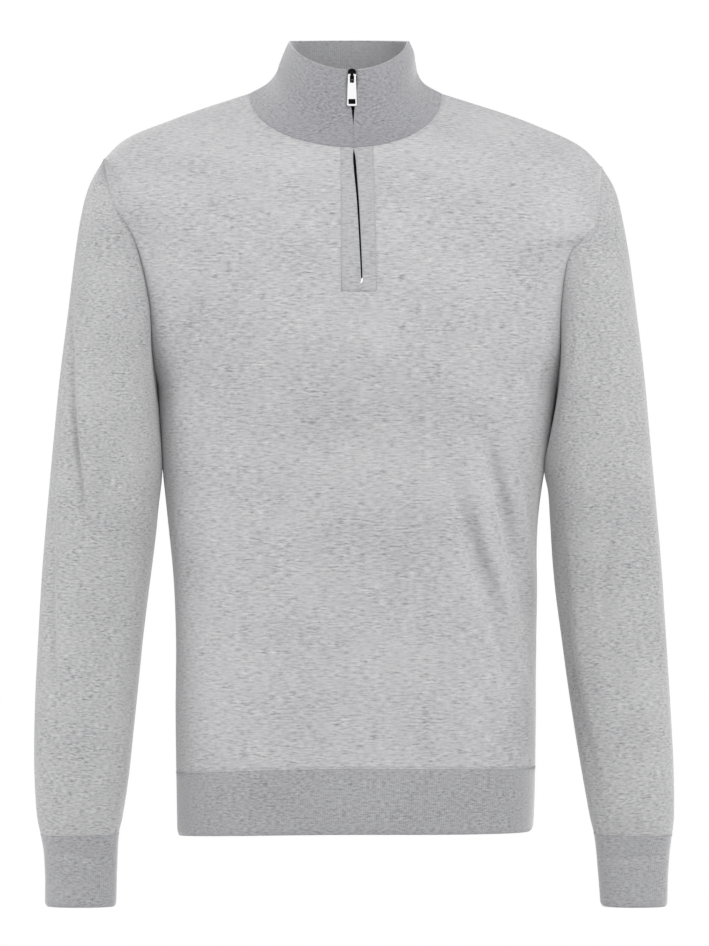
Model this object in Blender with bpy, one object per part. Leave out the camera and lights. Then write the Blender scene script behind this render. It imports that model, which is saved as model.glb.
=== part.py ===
# A fine-knit half-zip sweater, filled out as if worn: knit walls, rib bands and a metal zip.
# Metres, +Z up. The front faces -Y and the wearer's right side lies at -X.
# The origin is the middle of the neck opening, level with the two shoulder points of the neck seam.

import math

import bmesh
import bpy
import numpy as np

mm = 0.001

knitWall = 1.6 * mm      # body and sleeves
ribWall = 2.2 * mm       # hem and cuffs
collarWall = 2.6 * mm    # the collar's rib is doubled
seamGap = 0.3 * mm       # between two pieces sewn together

# Rows of the body, counted upwards. Each row is one loop round the trunk.
hemFoot, hemSeam, underarm, shoulderTip, neckSeam, collarTop = -3, 0, 12, 22, 28, 33
placketFoot = 17         # the row where the slit for the zip ends

# Rings of the arm, counted downwards from the armhole.
cuffSeam, cuffFoot = 26, 31

frontColumns = 11        # from a side edge of the front to the placket
backColumns = 10         # from a side edge of the back to its middle
ringPoints = 2 * (shoulderTip - underarm)

# All the tables below are in millimetres.
# Side seam: row, x, z. It lies in the plane y = 0.
sideSeam = {
    "right": ((-3, -157.0, -666.5), (0, -158.0, -610.0), (2, -158.6, -552.0), (4, -158.2, -493.0),
              (6, -160.4, -436.0), (8, -166.0, -379.0), (10, -171.8, -321.0), (12, -174.5, -264.0)),
    "left": ((-3, 163.0, -663.0), (0, 164.8, -605.0), (2, 165.0, -549.0), (4, 165.6, -493.0),
             (6, 165.6, -436.0), (8, 167.5, -379.0), (10, 176.0, -321.0), (12, 184.0, -268.0)),
}
# Armhole: x, y, z, from the underarm up the front to the shoulder tip and down the back.
armhole = {
    "right": ((-174.5, 0, -264), (-178.5, -47, -232), (-181, -61, -186), (-193.5, -57.5, -134),
              (-214.5, -42, -96), (-223.5, 0, -59), (-219.5, 32, -82), (-205, 51, -120),
              (-190, 57, -165), (-180, 47, -226)),
    "left": ((184, 0, -268), (186.5, -49, -234), (187, -61, -187), (194.5, -58, -145),
             (217, -45, -121), (224.5, 0, -66), (220.5, 32, -88), (205, 51, -123),
             (192, 56, -168), (185.5, 44, -231)),
}
# Shoulder seam: row, x, z. It lies in the plane y = 0.
shoulderSeam = {
    "right": ((22, -223.5, -59.0), (23, -207.5, -43.5), (25, -163.5, -24.0), (28, -92.5, 0.4)),
    "left": ((22, 224.5, -66.0), (23, 209.0, -50.0), (25, 163.0, -27.5), (28, 81.5, 0.0)),
}
# Side line of the collar: row, x, z. It lies in the plane y = 0.
collarSide = {
    "right": ((28, -92.5, 0.4), (29, -77.0, 9.0), (30, -68.6, 18.5), (31, -65.0, 28.0),
              (32, -61.0, 38.0), (33, -56.4, 48.2)),
    "left": ((28, 81.5, 0.0), (29, 65.4, 9.0), (30, 59.2, 18.5), (31, 57.2, 28.0),
             (32, 55.6, 38.0), (33, 51.2, 48.2)),
}
# Middle line of the body: row, x, depth from the plane y = 0, z, squareness, droop.
# Squareness is the exponent of the rounded loop. Droop bends a loop from its side to its middle.
bodyMiddle = {
    "front": ((-3, 3.0, 103.0, -661.8, 2.6, 2.0), (0, 3.0, 105.0, -602.5, 2.6, 2.0),
              (3, 4.0, 107.5, -515.0, 2.6, 2.0), (6, 5.0, 110.0, -427.0, 2.6, 2.0),
              (9, 6.0, 114.5, -340.0, 2.5, 2.0), (12, 7.5, 120.5, -252.0, 2.5, 2.0),
              (14, 8.5, 121.8, -224.0, 2.5, 2.0), (17, 9.0, 119.0, -181.0, 2.5, 2.0),
              (19.5, 7.5, 112.0, -142.0, 2.4, 1.9), (22, 5.4, 101.0, -103.0, 2.3, 1.8),
              (25, 3.3, 89.0, -77.0, 2.2, 1.4), (28, 1.4, 76.0, -52.0, 2.1, 1.0)),
    "back": ((-3, 0.0, 101.0, -662.0, 2.6, 2.0), (0, 0.0, 102.0, -604.0, 2.6, 2.0),
             (3, 0.0, 98.5, -517.0, 2.6, 2.0), (6, 0.0, 94.0, -430.0, 2.6, 2.0),
             (9, 0.0, 97.5, -342.0, 2.5, 2.0), (12, 0.0, 105.5, -252.0, 2.5, 2.0),
             (14, -0.5, 108.0, -220.0, 2.5, 2.0), (17, -1.0, 107.0, -168.0, 2.5, 2.0),
             (19.5, -1.5, 101.5, -120.0, 2.4, 1.9), (22, -2.0, 91.0, -73.0, 2.3, 1.8),
             (25, -3.0, 76.5, -38.0, 2.2, 1.4), (28, -4.5, 60.0, -8.0, 2.1, 1.0)),
}
collarMiddle = {
    "front": ((28, 1.4, 76.0, -52.0, 2.1, 1.0), (29, 1.3, 75.0, -38.0, 2.1, 1.05),
              (31, 0.7, 73.2, -10.0, 2.1, 1.2), (33, 0.0, 71.5, 18.0, 2.1, 1.3)),
    "back": ((28, -4.5, 60.0, -8.0, 2.1, 1.0), (29, -4.0, 55.5, 3.5, 2.1, 1.05),
             (31, -3.0, 52.0, 27.5, 2.1, 1.1), (33, -2.0, 49.0, 51.4, 2.1, 1.0)),
}
# Placket band: row, width to the right of the zip line, width to its left.
placketBand = ((-3, 16.0, 16.0), (0, 16.0, 16.0), (17, 18.8, 12.6), (22, 15.2, 14.8), (28, 11.6, 17.2))
# Half the opening between the two edges along the zip: row, half width.
zipOpening = ((17, 0.2), (17.35, 1.1), (17.9, 0.9), (20, 1.1), (25, 1.15), (27, 0.7), (28, 0.2),
              (29.4, 0.2), (30.5, 1.5), (31.2, 2.5), (31.9, 4.1), (33, 4.1))
# Arm: ring, outer x and z, inner x and z, middle y, half depth, squareness.
arm = {
    "right": ((0, -223.5, -59, -174.5, -264, 0, 61, 2.2), (2, -236, -83, -174.2, -285, -9, 61, 2.2),
              (4, -243.3, -111, -173.3, -304, -15, 60, 2.2), (6, -249.0, -150, -171.4, -330, -19, 58, 2.2),
              (8, -255.4, -203, -173.0, -360, -20, 56, 2.2), (10, -262.2, -257, -175.3, -390, -20, 54, 2.2),
              (12, -267.6, -312, -178.6, -420, -20, 51, 2.2), (14, -272.4, -365, -182.3, -450, -21, 49, 2.2),
              (16, -277.4, -425, -187.0, -490, -23, 46, 2.2), (18, -280.9, -485, -190.9, -530, -26, 44, 2.2),
              (20, -283.7, -545, -195.2, -572, -30, 42, 2.2), (22, -284.4, -600, -199.6, -613, -33, 40, 2.2),
              (24, -282.2, -643, -205.0, -648, -36, 36, 2.2), (26, -278.4, -664, -208.2, -663, -39, 30, 2.2),
              (27, -276.2, -675, -209.0, -674, -40, 27, 2.2), (29, -274.3, -701, -210.0, -701, -41, 25, 2.2),
              (31, -274.3, -728.5, -210.7, -728.5, -42, 25, 2.2)),
    "left": ((0, 224.5, -66, 184.0, -268, 0, 61, 2.2), (2, 236.2, -87, 182.4, -288, -9, 61, 2.2),
             (4, 242.8, -113, 179.7, -307, -15, 60, 2.2), (6, 249.2, -150, 174.8, -332, -19, 58, 2.2),
             (8, 256.0, -203, 175.4, -360, -20, 56, 2.2), (10, 262.5, -257, 177.2, -390, -20, 54, 2.2),
             (12, 267.5, -312, 180.0, -420, -20, 51, 2.2), (14, 272.3, -365, 183.4, -450, -21, 49, 2.2),
             (16, 277.4, -425, 189.0, -490, -23, 46, 2.2), (18, 281.2, -485, 194.4, -530, -26, 44, 2.2),
             (20, 284.8, -545, 200.7, -572, -30, 42, 2.2), (22, 287.6, -600, 207.4, -613, -33, 40, 2.2),
             (24, 288.2, -643, 213.4, -648, -36, 36, 2.2), (26, 286.2, -664, 216.6, -663, -39, 30, 2.2),
             (27, 284.6, -675, 218.0, -674, -40, 27, 2.2), (29, 282.6, -701, 220.2, -701, -41, 25, 2.2),
             (31, 281.8, -728.5, 222.2, -728.5, -42, 25, 2.2)),
}
armholeFade = 9          # rings over which the sleeve leaves the armhole's own shape

# Folds: the x and z of the points they run through, half width, depth (a ridge is negative).
frontFolds = (
    (((91, -347), (109, -405), (131, -453), (148, -506), (154, -551)), 9, 5.5),
    (((122, -321), (144, -418), (154, -462)), 8, 4.0),
    (((113, -365), (135, -444), (148, -489)), 8, -3.0),
    (((118, -533), (131, -577)), 9, 2.5),
    (((-121, -300), (-121, -395)), 12, 2.5),
    (((-136, -185), (-134, -222)), 12, 2.5),
    (((-92, -14), (-62, -44), (-24, -58)), 9, 2.5),
    (((84, -14), (60, -42), (30, -56)), 9, 2.5),
)
backFolds = (
    (((-150, -330), (-118, -392), (-70, -430)), 13, 5.0),
    (((150, -345), (112, -402), (60, -438)), 13, 5.0),
    (((-148, -420), (-110, -462), (-60, -480)), 12, 3.5),
    (((146, -440), (104, -476), (58, -492)), 12, 3.5),
    (((-60, -90), (0, -108), (60, -92)), 16, 3.0),
)
sleeveFrontFolds = (
    (((-252, -200), (-248, -275), (-242, -338), (-236, -392)), 9, 3.5),
    (((-273, -425), (-269, -473), (-265, -527), (-261, -577)), 8, 2.5),
    (((-222, -230), (-215, -300)), 10, 2.0),
    (((234, -383), (227, -428), (223, -473)), 9, 3.0),
    (((247, -500), (240, -590)), 10, 2.0),
    (((214, -190), (206, -262)), 10, 2.0),
)
sleeveBackFolds = (
    (((-262, -330), (-235, -372), (-205, -392)), 10, 3.5),
    (((262, -335), (235, -376), (208, -396)), 10, 3.5),
    (((-268, -460), (-236, -500)), 10, 2.5),
    (((268, -466), (238, -506)), 10, 2.5),
)

# Zip, in millimetres.
zipBehind = 0.5                                          # chain and tapes behind the wall
chainHalf, chainDeep = 2.3, 2.0                          # half width, thickness
tapeInner, tapeOuter, tapeDeep = 3.3, 12.5, 0.7          # from the zip line, thickness
chainRows = (17.7, 32.33)
tapeRows = (17.3, 32.6)
sliderWide, sliderTall, sliderDeep = 7.4, 9.4, 4.4
barAboveFoot = 3.9                                       # the pull's bar above the slider's foot
faceBehindBar = 1.3                                      # the slider's face behind the bar's axis
bridgeHalf, bridgeInner, bridgeOuter = 1.4, 1.3, 2.5     # the loop of metal that holds the bar
pullTop, pullFoot, pullTopWide, pullFootWide, pullDeep = 0.6, -27.8, 7.2, 8.6, 1.4
slotHalf, slotTop, slotFoot = 1.9, -0.5, -7.2            # the hole in the pull, from the bar's axis
pullClearance = 0.6                                      # between the pull and the collar


def clearScene():
    for old in list(bpy.data.objects):
        bpy.data.objects.remove(old, do_unlink=True)


def material(name, colour, roughness, metallic=0.0):
    finish = bpy.data.materials.new(name)
    finish.use_nodes = True
    shader = finish.node_tree.nodes["Principled BSDF"]
    shader.inputs["Base Color"].default_value = (*colour, 1)
    shader.inputs["Roughness"].default_value = roughness
    shader.inputs["Metallic"].default_value = metallic
    return finish


def smooth(table, at):
    # Cubic through the rows of a table whose first column is the key.
    rows = np.array(table, float)
    key, values = rows[:, 0], rows[:, 1:]
    slope = np.gradient(values, key, axis=0)
    at = np.clip(np.asarray(at, float), key[0], key[-1])
    i = np.clip(np.searchsorted(key, at, side="right") - 1, 0, len(key) - 2)
    span = (key[i + 1] - key[i])[..., None]
    f = (at - key[i])[..., None] / span
    start = values[i] * (1 + 2 * f) + slope[i] * span * f
    end = values[i + 1] * (3 - 2 * f) + slope[i + 1] * span * (f - 1)
    return start * (1 - f) ** 2 + end * f ** 2


def aroundArmhole(side, station):
    # Closed cubic through the armhole's points. Station 0 is the underarm and 5 the shoulder tip.
    points = armhole[side]
    count = len(points)
    table = [(k, *points[k % count]) for k in range(-3, count + 4)]
    return smooth(table, station)


def edgePoint(side, face, row):
    # Where a row meets the edge of its panel: side seam, armhole, shoulder seam or side of the collar.
    row = np.asarray(row, float)
    reach = (row - underarm) / 2
    station = reach if face == "front" else len(armhole[side]) - reach
    inPlane = smooth(sideSeam[side], row)
    inPlane = np.where((row > shoulderTip)[..., None], smooth(shoulderSeam[side], row), inPlane)
    inPlane = np.where((row > neckSeam)[..., None], smooth(collarSide[side], row), inPlane)
    flat = np.stack([inPlane[..., 0], np.zeros_like(row), inPlane[..., 1]], axis=-1)
    onArmhole = (row >= underarm) & (row <= shoulderTip)
    return np.where(onArmhole[..., None], aroundArmhole(side, station), flat)


def rowShape(side, face, row):
    # The edge of a row, its middle line and the rounded loop between them.
    row = np.asarray(row, float)
    edge = edgePoint(side, face, row)
    middle = np.where((row > neckSeam)[..., None], smooth(collarMiddle[face], row),
                      smooth(bodyMiddle[face], row))
    middleX, depth, middleZ, power, droop = np.moveaxis(middle, -1, 0)
    near = np.abs(edge[..., 1]) / depth
    reach = (1 - near ** power) ** (1 / power)
    halfWidth = (edge[..., 0] - middleX) / reach
    return edge, middleX, depth, middleZ, power, droop, halfWidth, np.arctan2(reach, near)


def trunkPoint(side, face, row, turn):
    # A point of the trunk. Turn runs from 0 on the middle line to 1 on the panel's edge.
    edge, middleX, depth, middleZ, power, droop, halfWidth, edgeAngle = rowShape(side, face, row)
    angle = turn * edgeAngle
    size = (np.sin(angle) ** power + np.cos(angle) ** power) ** (1 / power)
    x = middleX + halfWidth * np.sin(angle) / size
    y = depth * np.cos(angle) / size * (-1 if face == "front" else 1)
    z = edge[..., 2] + (middleZ - edge[..., 2]) * np.maximum(np.cos(turn * math.pi / 2), 0) ** droop
    return np.stack([x, y, z], axis=-1)


def turnAt(side, face, row, offset):
    # The turn of a point that lies this far to the side of the middle line.
    power, halfWidth, edgeAngle = [rowShape(side, face, row)[k] for k in (4, 6, 7)]
    across = np.abs(offset / halfWidth)
    return np.arctan2(across, (1 - across ** power) ** (1 / power)) / edgeAngle


def foldDepth(folds, x, z):
    # Sum of soft troughs. Each follows its line and fades out towards both ends.
    total = np.zeros_like(x)
    for line, halfWidth, depth in folds:
        points = np.array(line, float)
        steps = np.hypot(*(points[1:] - points[:-1]).T)
        before = np.concatenate([[0], np.cumsum(steps)])
        nearest = np.full_like(x, np.inf)
        along = np.zeros_like(x)
        for k, (start, end) in enumerate(zip(points[:-1], points[1:])):
            direction = (end - start) / steps[k]
            run = (x - start[0]) * direction[0] + (z - start[1]) * direction[1]
            held = np.clip(run, 0, steps[k])
            away = np.hypot(x - start[0] - held * direction[0], z - start[1] - held * direction[1])
            closer = away < nearest
            nearest = np.where(closer, away, nearest)
            along = np.where(closer, (before[k] + held) / before[-1], along)
        total += depth * np.exp(-(nearest / halfWidth) ** 2) * np.sin(math.pi * (0.08 + 0.84 * along))
    return total


def foldPanel(points, folds, facing):
    # Push a panel's points straight in, by as much as they face the viewer.
    pushed = points.copy()
    pushed[..., 1] += foldDepth(folds, points[..., 0], points[..., 2]) * facing
    return pushed


def awayFromSeams(rows):
    # Folds start a little way above the hem and end a little way below the neck.
    return (np.clip(rows / 2, 0, 1) * np.clip((neckSeam - rows) / 2, 0, 1))[:, None]


def frontTurns(side, rows):
    # Turns of the front's columns on one side, from its edge to the placket.
    band = smooth(placketBand, rows)[..., 0 if side == "right" else 1]
    atBand = turnAt(side, "front", rows, band)[:, None]
    share = np.linspace(0, 1, frontColumns + 1)
    return 1 + (atBand - 1) * share


def frontGrid(rows):
    sides = []
    for side in ("right", "left"):
        turns = frontTurns(side, rows)
        points = trunkPoint(side, "front", rows[:, None], turns)
        facing = np.cos(turns * math.pi / 2) ** 0.5 * awayFromSeams(rows)
        sides.append(foldPanel(points, frontFolds, facing))
    middle = trunkPoint("right", "front", rows[:, None], np.zeros((len(rows), 1)))
    middle = foldPanel(middle, frontFolds, awayFromSeams(rows))
    return np.concatenate([sides[0], middle, sides[1][:, ::-1]], axis=1)


def backGrid(rows):
    turns = np.linspace(1, 0, backColumns + 1)
    facing = -np.cos(turns * math.pi / 2) ** 0.5 * awayFromSeams(rows)
    sides = [foldPanel(trunkPoint(side, "back", rows[:, None], turns[None]), backFolds, facing)
             for side in ("right", "left")]
    sides[0][:, -1] = sides[1][:, -1] = (sides[0][:, -1] + sides[1][:, -1]) / 2
    return np.concatenate([sides[0], sides[1][:, -2::-1]], axis=1)


def hemGrid(rows):
    return np.concatenate([frontGrid(rows), backGrid(rows)[:, -2:0:-1]], axis=1)


def zipEdge(side, rows, offset):
    # A line of points beside the zip line, at a distance that may change from row to row.
    return trunkPoint(side, "front", rows, turnAt(side, "front", rows, offset))


def placketGrid(side, rows):
    band = smooth(placketBand, rows)[..., 0 if side == "right" else 1] - seamGap / mm
    opening = smooth(zipOpening, rows)[..., 0]
    lines = [zipEdge(side, rows, band + (opening - band) * share) for share in (0, 0.5, 1)]
    return np.stack(lines, axis=1)


def collarGrid(rows):
    # From the right edge of the zip round the back of the neck to the left edge.
    halves = []
    for side in ("right", "left"):
        front = frontTurns(side, np.array([neckSeam]))[0]
        opening = smooth(zipOpening, rows)[..., 0]
        atZip = turnAt(side, "front", rows, opening)[:, None]
        turns = np.concatenate([atZip, (atZip + front[-1]) / 2, np.tile(front[::-1], (len(rows), 1))], axis=1)
        aroundFront = trunkPoint(side, "front", rows[:, None], turns)
        aroundBack = trunkPoint(side, "back", rows[:, None], np.linspace(1, 0, backColumns + 1)[None])
        halves.append(np.concatenate([aroundFront, aroundBack[:, 1:]], axis=1))
    return np.concatenate([halves[0], halves[1][:, -2::-1]], axis=1)


def armRing(side, ring):
    # One loop round the arm, from its outer side over the front to the inner side and the back.
    outerX, outerZ, innerX, innerZ, middleY, depth, power = np.moveaxis(smooth(arm[side], ring), -1, 0)
    angle = np.arange(ringPoints) * 2 * math.pi / ringPoints
    size = (np.abs(np.sin(angle)) ** power + np.abs(np.cos(angle)) ** power) ** (1 / power)
    out, forward = np.cos(angle) / size, np.sin(angle) / size
    x = (outerX + innerX) / 2 + (outerX - innerX) / 2 * out
    z = (outerZ + innerZ) / 2 + (outerZ - innerZ) / 2 * out
    return np.stack([x, middleY - depth * forward, z], axis=-1)


def armGrid(side, rings):
    rings = np.asarray(rings, float)[:, None]
    points = armRing(side, rings)
    station = np.linspace(len(armhole[side]) / 2, -len(armhole[side]) / 2, ringPoints, endpoint=False)
    ownShape = aroundArmhole(side, station % len(armhole[side])) - armRing(side, np.zeros(1))
    fade = np.clip(1 - rings[..., None] / armholeFade, 0, 1)
    points = points + ownShape[None] * fade ** 2 * (3 - 2 * fade)
    forward = np.sin(np.arange(ringPoints) * 2 * math.pi / ringPoints)[None]
    free = np.clip(rings / 3, 0, 1) * np.clip((cuffSeam - rings) / 2, 0, 1)
    points = foldPanel(points, sleeveFrontFolds, np.maximum(forward, 0) ** 0.5 * free)
    return foldPanel(points, sleeveBackFolds, -np.maximum(-forward, 0) ** 0.5 * free)


def unit(vectors):
    return vectors / np.maximum(np.linalg.norm(vectors, axis=-1, keepdims=True), 1e-12)


def gridNormals(points, closed):
    # Outward normals of a grid whose columns run from the wearer's right over the front.
    if closed:
        across = np.roll(points, -1, axis=1) - np.roll(points, 1, axis=1)
    else:
        across = np.gradient(points, axis=1)
    return unit(np.cross(across, np.gradient(points, axis=0)))


class Cloth:
    # One sewn piece: a grid of outer points that becomes a closed wall.
    def __init__(self, name, points, wall, finish, closed=False, flip=False, hole=None):
        self.name, self.wall, self.finish, self.closed, self.hole = name, wall, finish, closed, hole
        self.points = points * mm
        self.flip = flip
        self.normals = gridNormals(self.points, closed) * (-1 if flip else 1)

    def kept(self):
        rows, columns = self.points.shape[:2]
        cells = np.ones((rows - 1, columns if self.closed else columns - 1), bool)
        if self.hole:
            cells[self.hole[0]:, self.hole[1]:self.hole[2]] = False
        return cells

    def border(self):
        # Vertices on the outline of the whole grid, with the direction that leads into the cloth.
        rows, columns = self.points.shape[:2]
        inward = np.zeros_like(self.points)
        edge = np.zeros((rows, columns), bool)
        edge[[0, -1]] = True
        inward[0] += unit(self.points[1] - self.points[0])
        inward[-1] += unit(self.points[-2] - self.points[-1])
        if not self.closed:
            edge[:, [0, -1]] = True
            inward[:, 0] += unit(self.points[:, 1] - self.points[:, 0])
            inward[:, -1] += unit(self.points[:, -2] - self.points[:, -1])
        return edge, inward

    def build(self):
        rows, columns = self.points.shape[:2]
        outer = self.points.reshape(-1, 3)
        inner = outer - self.normals.reshape(-1, 3) * self.wall
        index = np.arange(rows * columns).reshape(rows, columns)
        cells = self.kept()
        sides = []
        faces = []
        for r, c in zip(*np.nonzero(cells)):
            right = (c + 1) % columns
            corners = [int(k) for k in (index[r, c], index[r, right], index[r + 1, right], index[r + 1, c])]
            faces.append(corners)
            sides += [(a, b) for a, b in zip(corners, corners[1:] + corners[:1])]
        open_ = set(sides)
        rim = [(a, b) for a, b in sides if (b, a) not in open_]
        shift = rows * columns
        walls = [tuple(f) for f in faces] + [tuple(k + shift for k in f[::-1]) for f in faces]
        walls += [(b, a, a + shift, b + shift) for a, b in rim]
        if self.flip:
            walls = [f[::-1] for f in walls]
        mesh = bpy.data.meshes.new(self.name)
        mesh.from_pydata(np.concatenate([outer, inner]).tolist(), [], walls)
        work = bmesh.new()
        work.from_mesh(mesh)
        bmesh.ops.delete(work, geom=[v for v in work.verts if not v.link_faces], context="VERTS")
        work.to_mesh(mesh)
        work.free()
        mesh.shade_smooth()
        mesh.set_sharp_from_angle(angle=math.radians(50))
        mesh.materials.append(self.finish)
        piece = bpy.data.objects.new(self.name, mesh)
        bpy.context.collection.objects.link(piece)
        return piece


def squareToFront(piece, columns):
    # The edges along the zip face straight forward, so that the two sides stay apart.
    piece.normals[:, columns, 0] = 0
    piece.normals[:, columns] = unit(piece.normals[:, columns])


def openSeams(pieces):
    # Where the borders of two or more pieces share a point, they are parted by the seam's gap.
    # They also get one normal, so that their walls meet in a mitre, unless the seam is a deep hollow.
    found = [(piece, *piece.border()) for piece in pieces]
    points = np.concatenate([piece.points[edge] for piece, edge, inward in found])
    normals = np.concatenate([piece.normals[edge] for piece, edge, inward in found])
    inwards = np.concatenate([unit(inward[edge]) for piece, edge, inward in found])
    together = (np.linalg.norm(points[:, None] - points[None], axis=-1) < 0.01 * mm).astype(float)
    others = np.maximum(together.sum(axis=1, keepdims=True) - 1, 1)
    shared = unit(together @ normals)
    summed = together @ normals
    hollow = ((together @ inwards) * summed).sum(axis=1, keepdims=True) > 0.02
    apart = 1 - np.linalg.norm(summed, axis=1, keepdims=True) / (others + 1)
    own = hollow * np.clip((apart - 0.05) / 0.15, 0, 1)
    shared = unit(shared * (1 - own) + normals * own)
    away = inwards - (together @ inwards - inwards) / others
    parted = np.where(together.sum(axis=1, keepdims=True) > 1, unit(away) * seamGap / 2, 0)
    start = 0
    for piece, edge, inward in found:
        count = int(edge.sum())
        piece.normals[edge] = shared[start:start + count]
        piece.points[edge] += parted[start:start + count]
        start += count


def zipStrip(name, ends, offsets, thickness, finish):
    # A flat strip that follows the inside of the opening, between two distances from the zip line.
    rows = np.concatenate([[ends[0]], np.arange(math.ceil(ends[0]), ends[1]), [ends[1]]])
    behind = np.interp(rows, (neckSeam - 3, neckSeam - 1), (knitWall / mm, collarWall / mm)) + zipBehind
    sides = [("right" if offset < 0 else "left", abs(offset)) for offset in offsets]
    lines = [zipEdge(side, rows, np.full(len(rows), offset)) for side, offset in sides]
    strip = Cloth(name, np.stack(lines, axis=1), thickness * mm, finish)
    strip.points = strip.points - strip.normals * behind[:, None, None] * mm
    return strip.build()


def plainObject(name, work, finish, place=(0, 0, 0)):
    mesh = bpy.data.meshes.new(name)
    bmesh.ops.recalc_face_normals(work, faces=work.faces)
    work.to_mesh(mesh)
    work.free()
    mesh.materials.append(finish)
    piece = bpy.data.objects.new(name, mesh)
    piece.location = place
    bpy.context.collection.objects.link(piece)
    return piece


def prism(outline, along, halfLength):
    # An outline in two axes, extruded both ways along the third.
    work = bmesh.new()
    corners = [np.insert(np.array(point, float) * mm, along, -halfLength * mm) for point in outline]
    face = work.faces.new([work.verts.new(corner) for corner in corners])
    step = np.zeros(3)
    step[along] = 2 * halfLength * mm
    grown = bmesh.ops.extrude_face_region(work, geom=[face])["geom"]
    bmesh.ops.translate(work, vec=step, verts=[g for g in grown if isinstance(g, bmesh.types.BMVert)])
    return work


def booleanWith(piece, other, operation):
    other.hide_render = True
    other.display_type = "WIRE"
    cut = piece.modifiers.new(operation.lower(), "BOOLEAN")
    cut.operation, cut.solver, cut.object = operation, "EXACT", other


def zipSlider(bar, finish):
    # A body with a rounded head, and the bridge that the pull's bar turns under.
    foot, top = -barAboveFoot, sliderTall - barAboveFoot
    half, shoulder = sliderWide / 2, top - 2.2
    waist, crown, flare = half * 0.72, half * 0.62, foot + 2.4
    outline = [(-waist, foot), (waist, foot), (half, flare), (half, shoulder),
               (crown, top), (-crown, top), (-half, shoulder), (-half, flare)]
    body = prism(outline, 1, sliderDeep / 2)
    bmesh.ops.translate(body, vec=(0, (faceBehindBar + sliderDeep / 2) * mm, 0), verts=body.verts)
    slider = plainObject("zip_slider", body, finish, bar)
    bend = np.linspace(math.pi / 2, -math.pi / 2, 9)
    root = faceBehindBar + 0.6
    loop = [(root, bridgeOuter)] + [(-bridgeOuter * math.cos(a), bridgeOuter * math.sin(a)) for a in bend]
    loop += [(root, -bridgeOuter), (root, -bridgeInner)]
    loop += [(-bridgeInner * math.cos(a), bridgeInner * math.sin(a)) for a in bend[::-1]] + [(root, bridgeInner)]
    bridge = plainObject("slider_bridge_form", prism(loop, 0, bridgeHalf), finish, bar)
    booleanWith(slider, bridge, "UNION")


def zipPull(bar, finish):
    # A flat tab, wider at its foot, with a long hole at the top that the bridge passes through.
    top, foot = pullTopWide / 2, pullFootWide / 2
    outline = [(-top + 0.6, pullTop), (top - 0.6, pullTop), (top, pullTop - 0.6), (foot, pullFoot + 1.4),
               (foot - 0.4, pullFoot + 0.4), (foot - 1.4, pullFoot), (-foot + 1.4, pullFoot),
               (-foot + 0.4, pullFoot + 0.4), (-foot, pullFoot + 1.4), (-top, pullTop - 0.6)]
    pull = plainObject("zip_pull", prism(outline, 1, pullDeep / 2), finish, bar)
    hole = [(-slotHalf, slotFoot), (slotHalf, slotFoot), (slotHalf, slotTop), (-slotHalf, slotTop)]
    cutter = plainObject("pull_hole_form", prism(hole, 1, pullDeep), finish, bar)
    booleanWith(pull, cutter, "DIFFERENCE")


def zipStop(finish):
    # The metal stop that closes the zip at its foot, between the two placket edges.
    row = np.array([17.45])
    place = zipEdge("right", row, np.zeros(1))[0] * mm
    work = bmesh.new()
    bmesh.ops.create_cube(work, size=1)
    bmesh.ops.scale(work, vec=(1.5 * mm, 1.6 * mm, 4.2 * mm), verts=work.verts)
    plainObject("zip_stop", work, finish, (place[0], place[1] + 0.9 * mm, place[2]))


def garment():
    knit = material("merino knit", (0.50, 0.50, 0.51), 0.9)
    rib = material("merino rib", (0.36, 0.36, 0.38), 0.9)
    rows = np.arange(hemSeam, neckSeam + 1.0)
    hemRows = np.arange(hemFoot, hemSeam + 1.0)
    collarRows = np.arange(neckSeam, collarTop + 1.0)
    pieces = [
        Cloth("front", frontGrid(rows), knitWall, knit,
              hole=(placketFoot, frontColumns, frontColumns + 2)),
        Cloth("back", backGrid(rows), knitWall, knit, flip=True),
        Cloth("hem_rib", hemGrid(hemRows), ribWall, rib, closed=True),
        Cloth("collar", collarGrid(collarRows), collarWall, rib, flip=True),
    ]
    for side in ("right", "left"):
        turned = side == "left"
        pieces.append(Cloth("sleeve_" + side, armGrid(side, np.arange(0, cuffSeam + 1))[::-1], knitWall,
                            knit, closed=True, flip=turned))
        pieces.append(Cloth("cuff_" + side, armGrid(side, np.arange(cuffSeam, cuffFoot + 1))[::-1], ribWall,
                            rib, closed=True, flip=turned))
    openSeams(pieces)
    squareToFront(pieces[3], [0, -1])
    for piece in pieces:
        piece.build()
    placketRows = np.concatenate([[placketFoot + 0.03, 17.35, 17.9], np.arange(19, neckSeam), [27.95]])
    for side in ("right", "left"):
        placket = Cloth("placket_" + side, placketGrid(side, placketRows), knitWall, knit, flip=side == "left")
        squareToFront(placket, [2])
        placket.build()


def fastening():
    tape = material("black zip tape", (0.012, 0.012, 0.013), 0.85)
    steel = material("polished steel", (0.80, 0.80, 0.81), 0.22, 1.0)
    black = material("black enamelled zinc", (0.02, 0.02, 0.022), 0.35, 0.8)
    zipStrip("zip_chain", chainRows, (-chainHalf, chainHalf), chainDeep, black)
    zipStrip("zip_tape_right", tapeRows, (-tapeOuter, -tapeInner), tapeDeep, tape)
    zipStrip("zip_tape_left", tapeRows, (tapeInner, tapeOuter), tapeDeep, tape)
    head = zipEdge("right", np.array([collarTop]), np.zeros(1))[0]
    barZ = head[2] + 0.4 - (sliderTall - barAboveFoot)
    lowest = zipEdge("right", np.linspace(neckSeam, collarTop, 60), np.zeros(60))
    collarY = np.interp(barZ + pullFoot, lowest[:, 2], lowest[:, 1])
    bar = (head[0] * mm, (collarY - pullClearance - pullDeep / 2) * mm, barZ * mm)
    zipSlider(bar, black)
    zipPull(bar, steel)
    zipStop(steel)


clearScene()
garment()
fastening()
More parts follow.
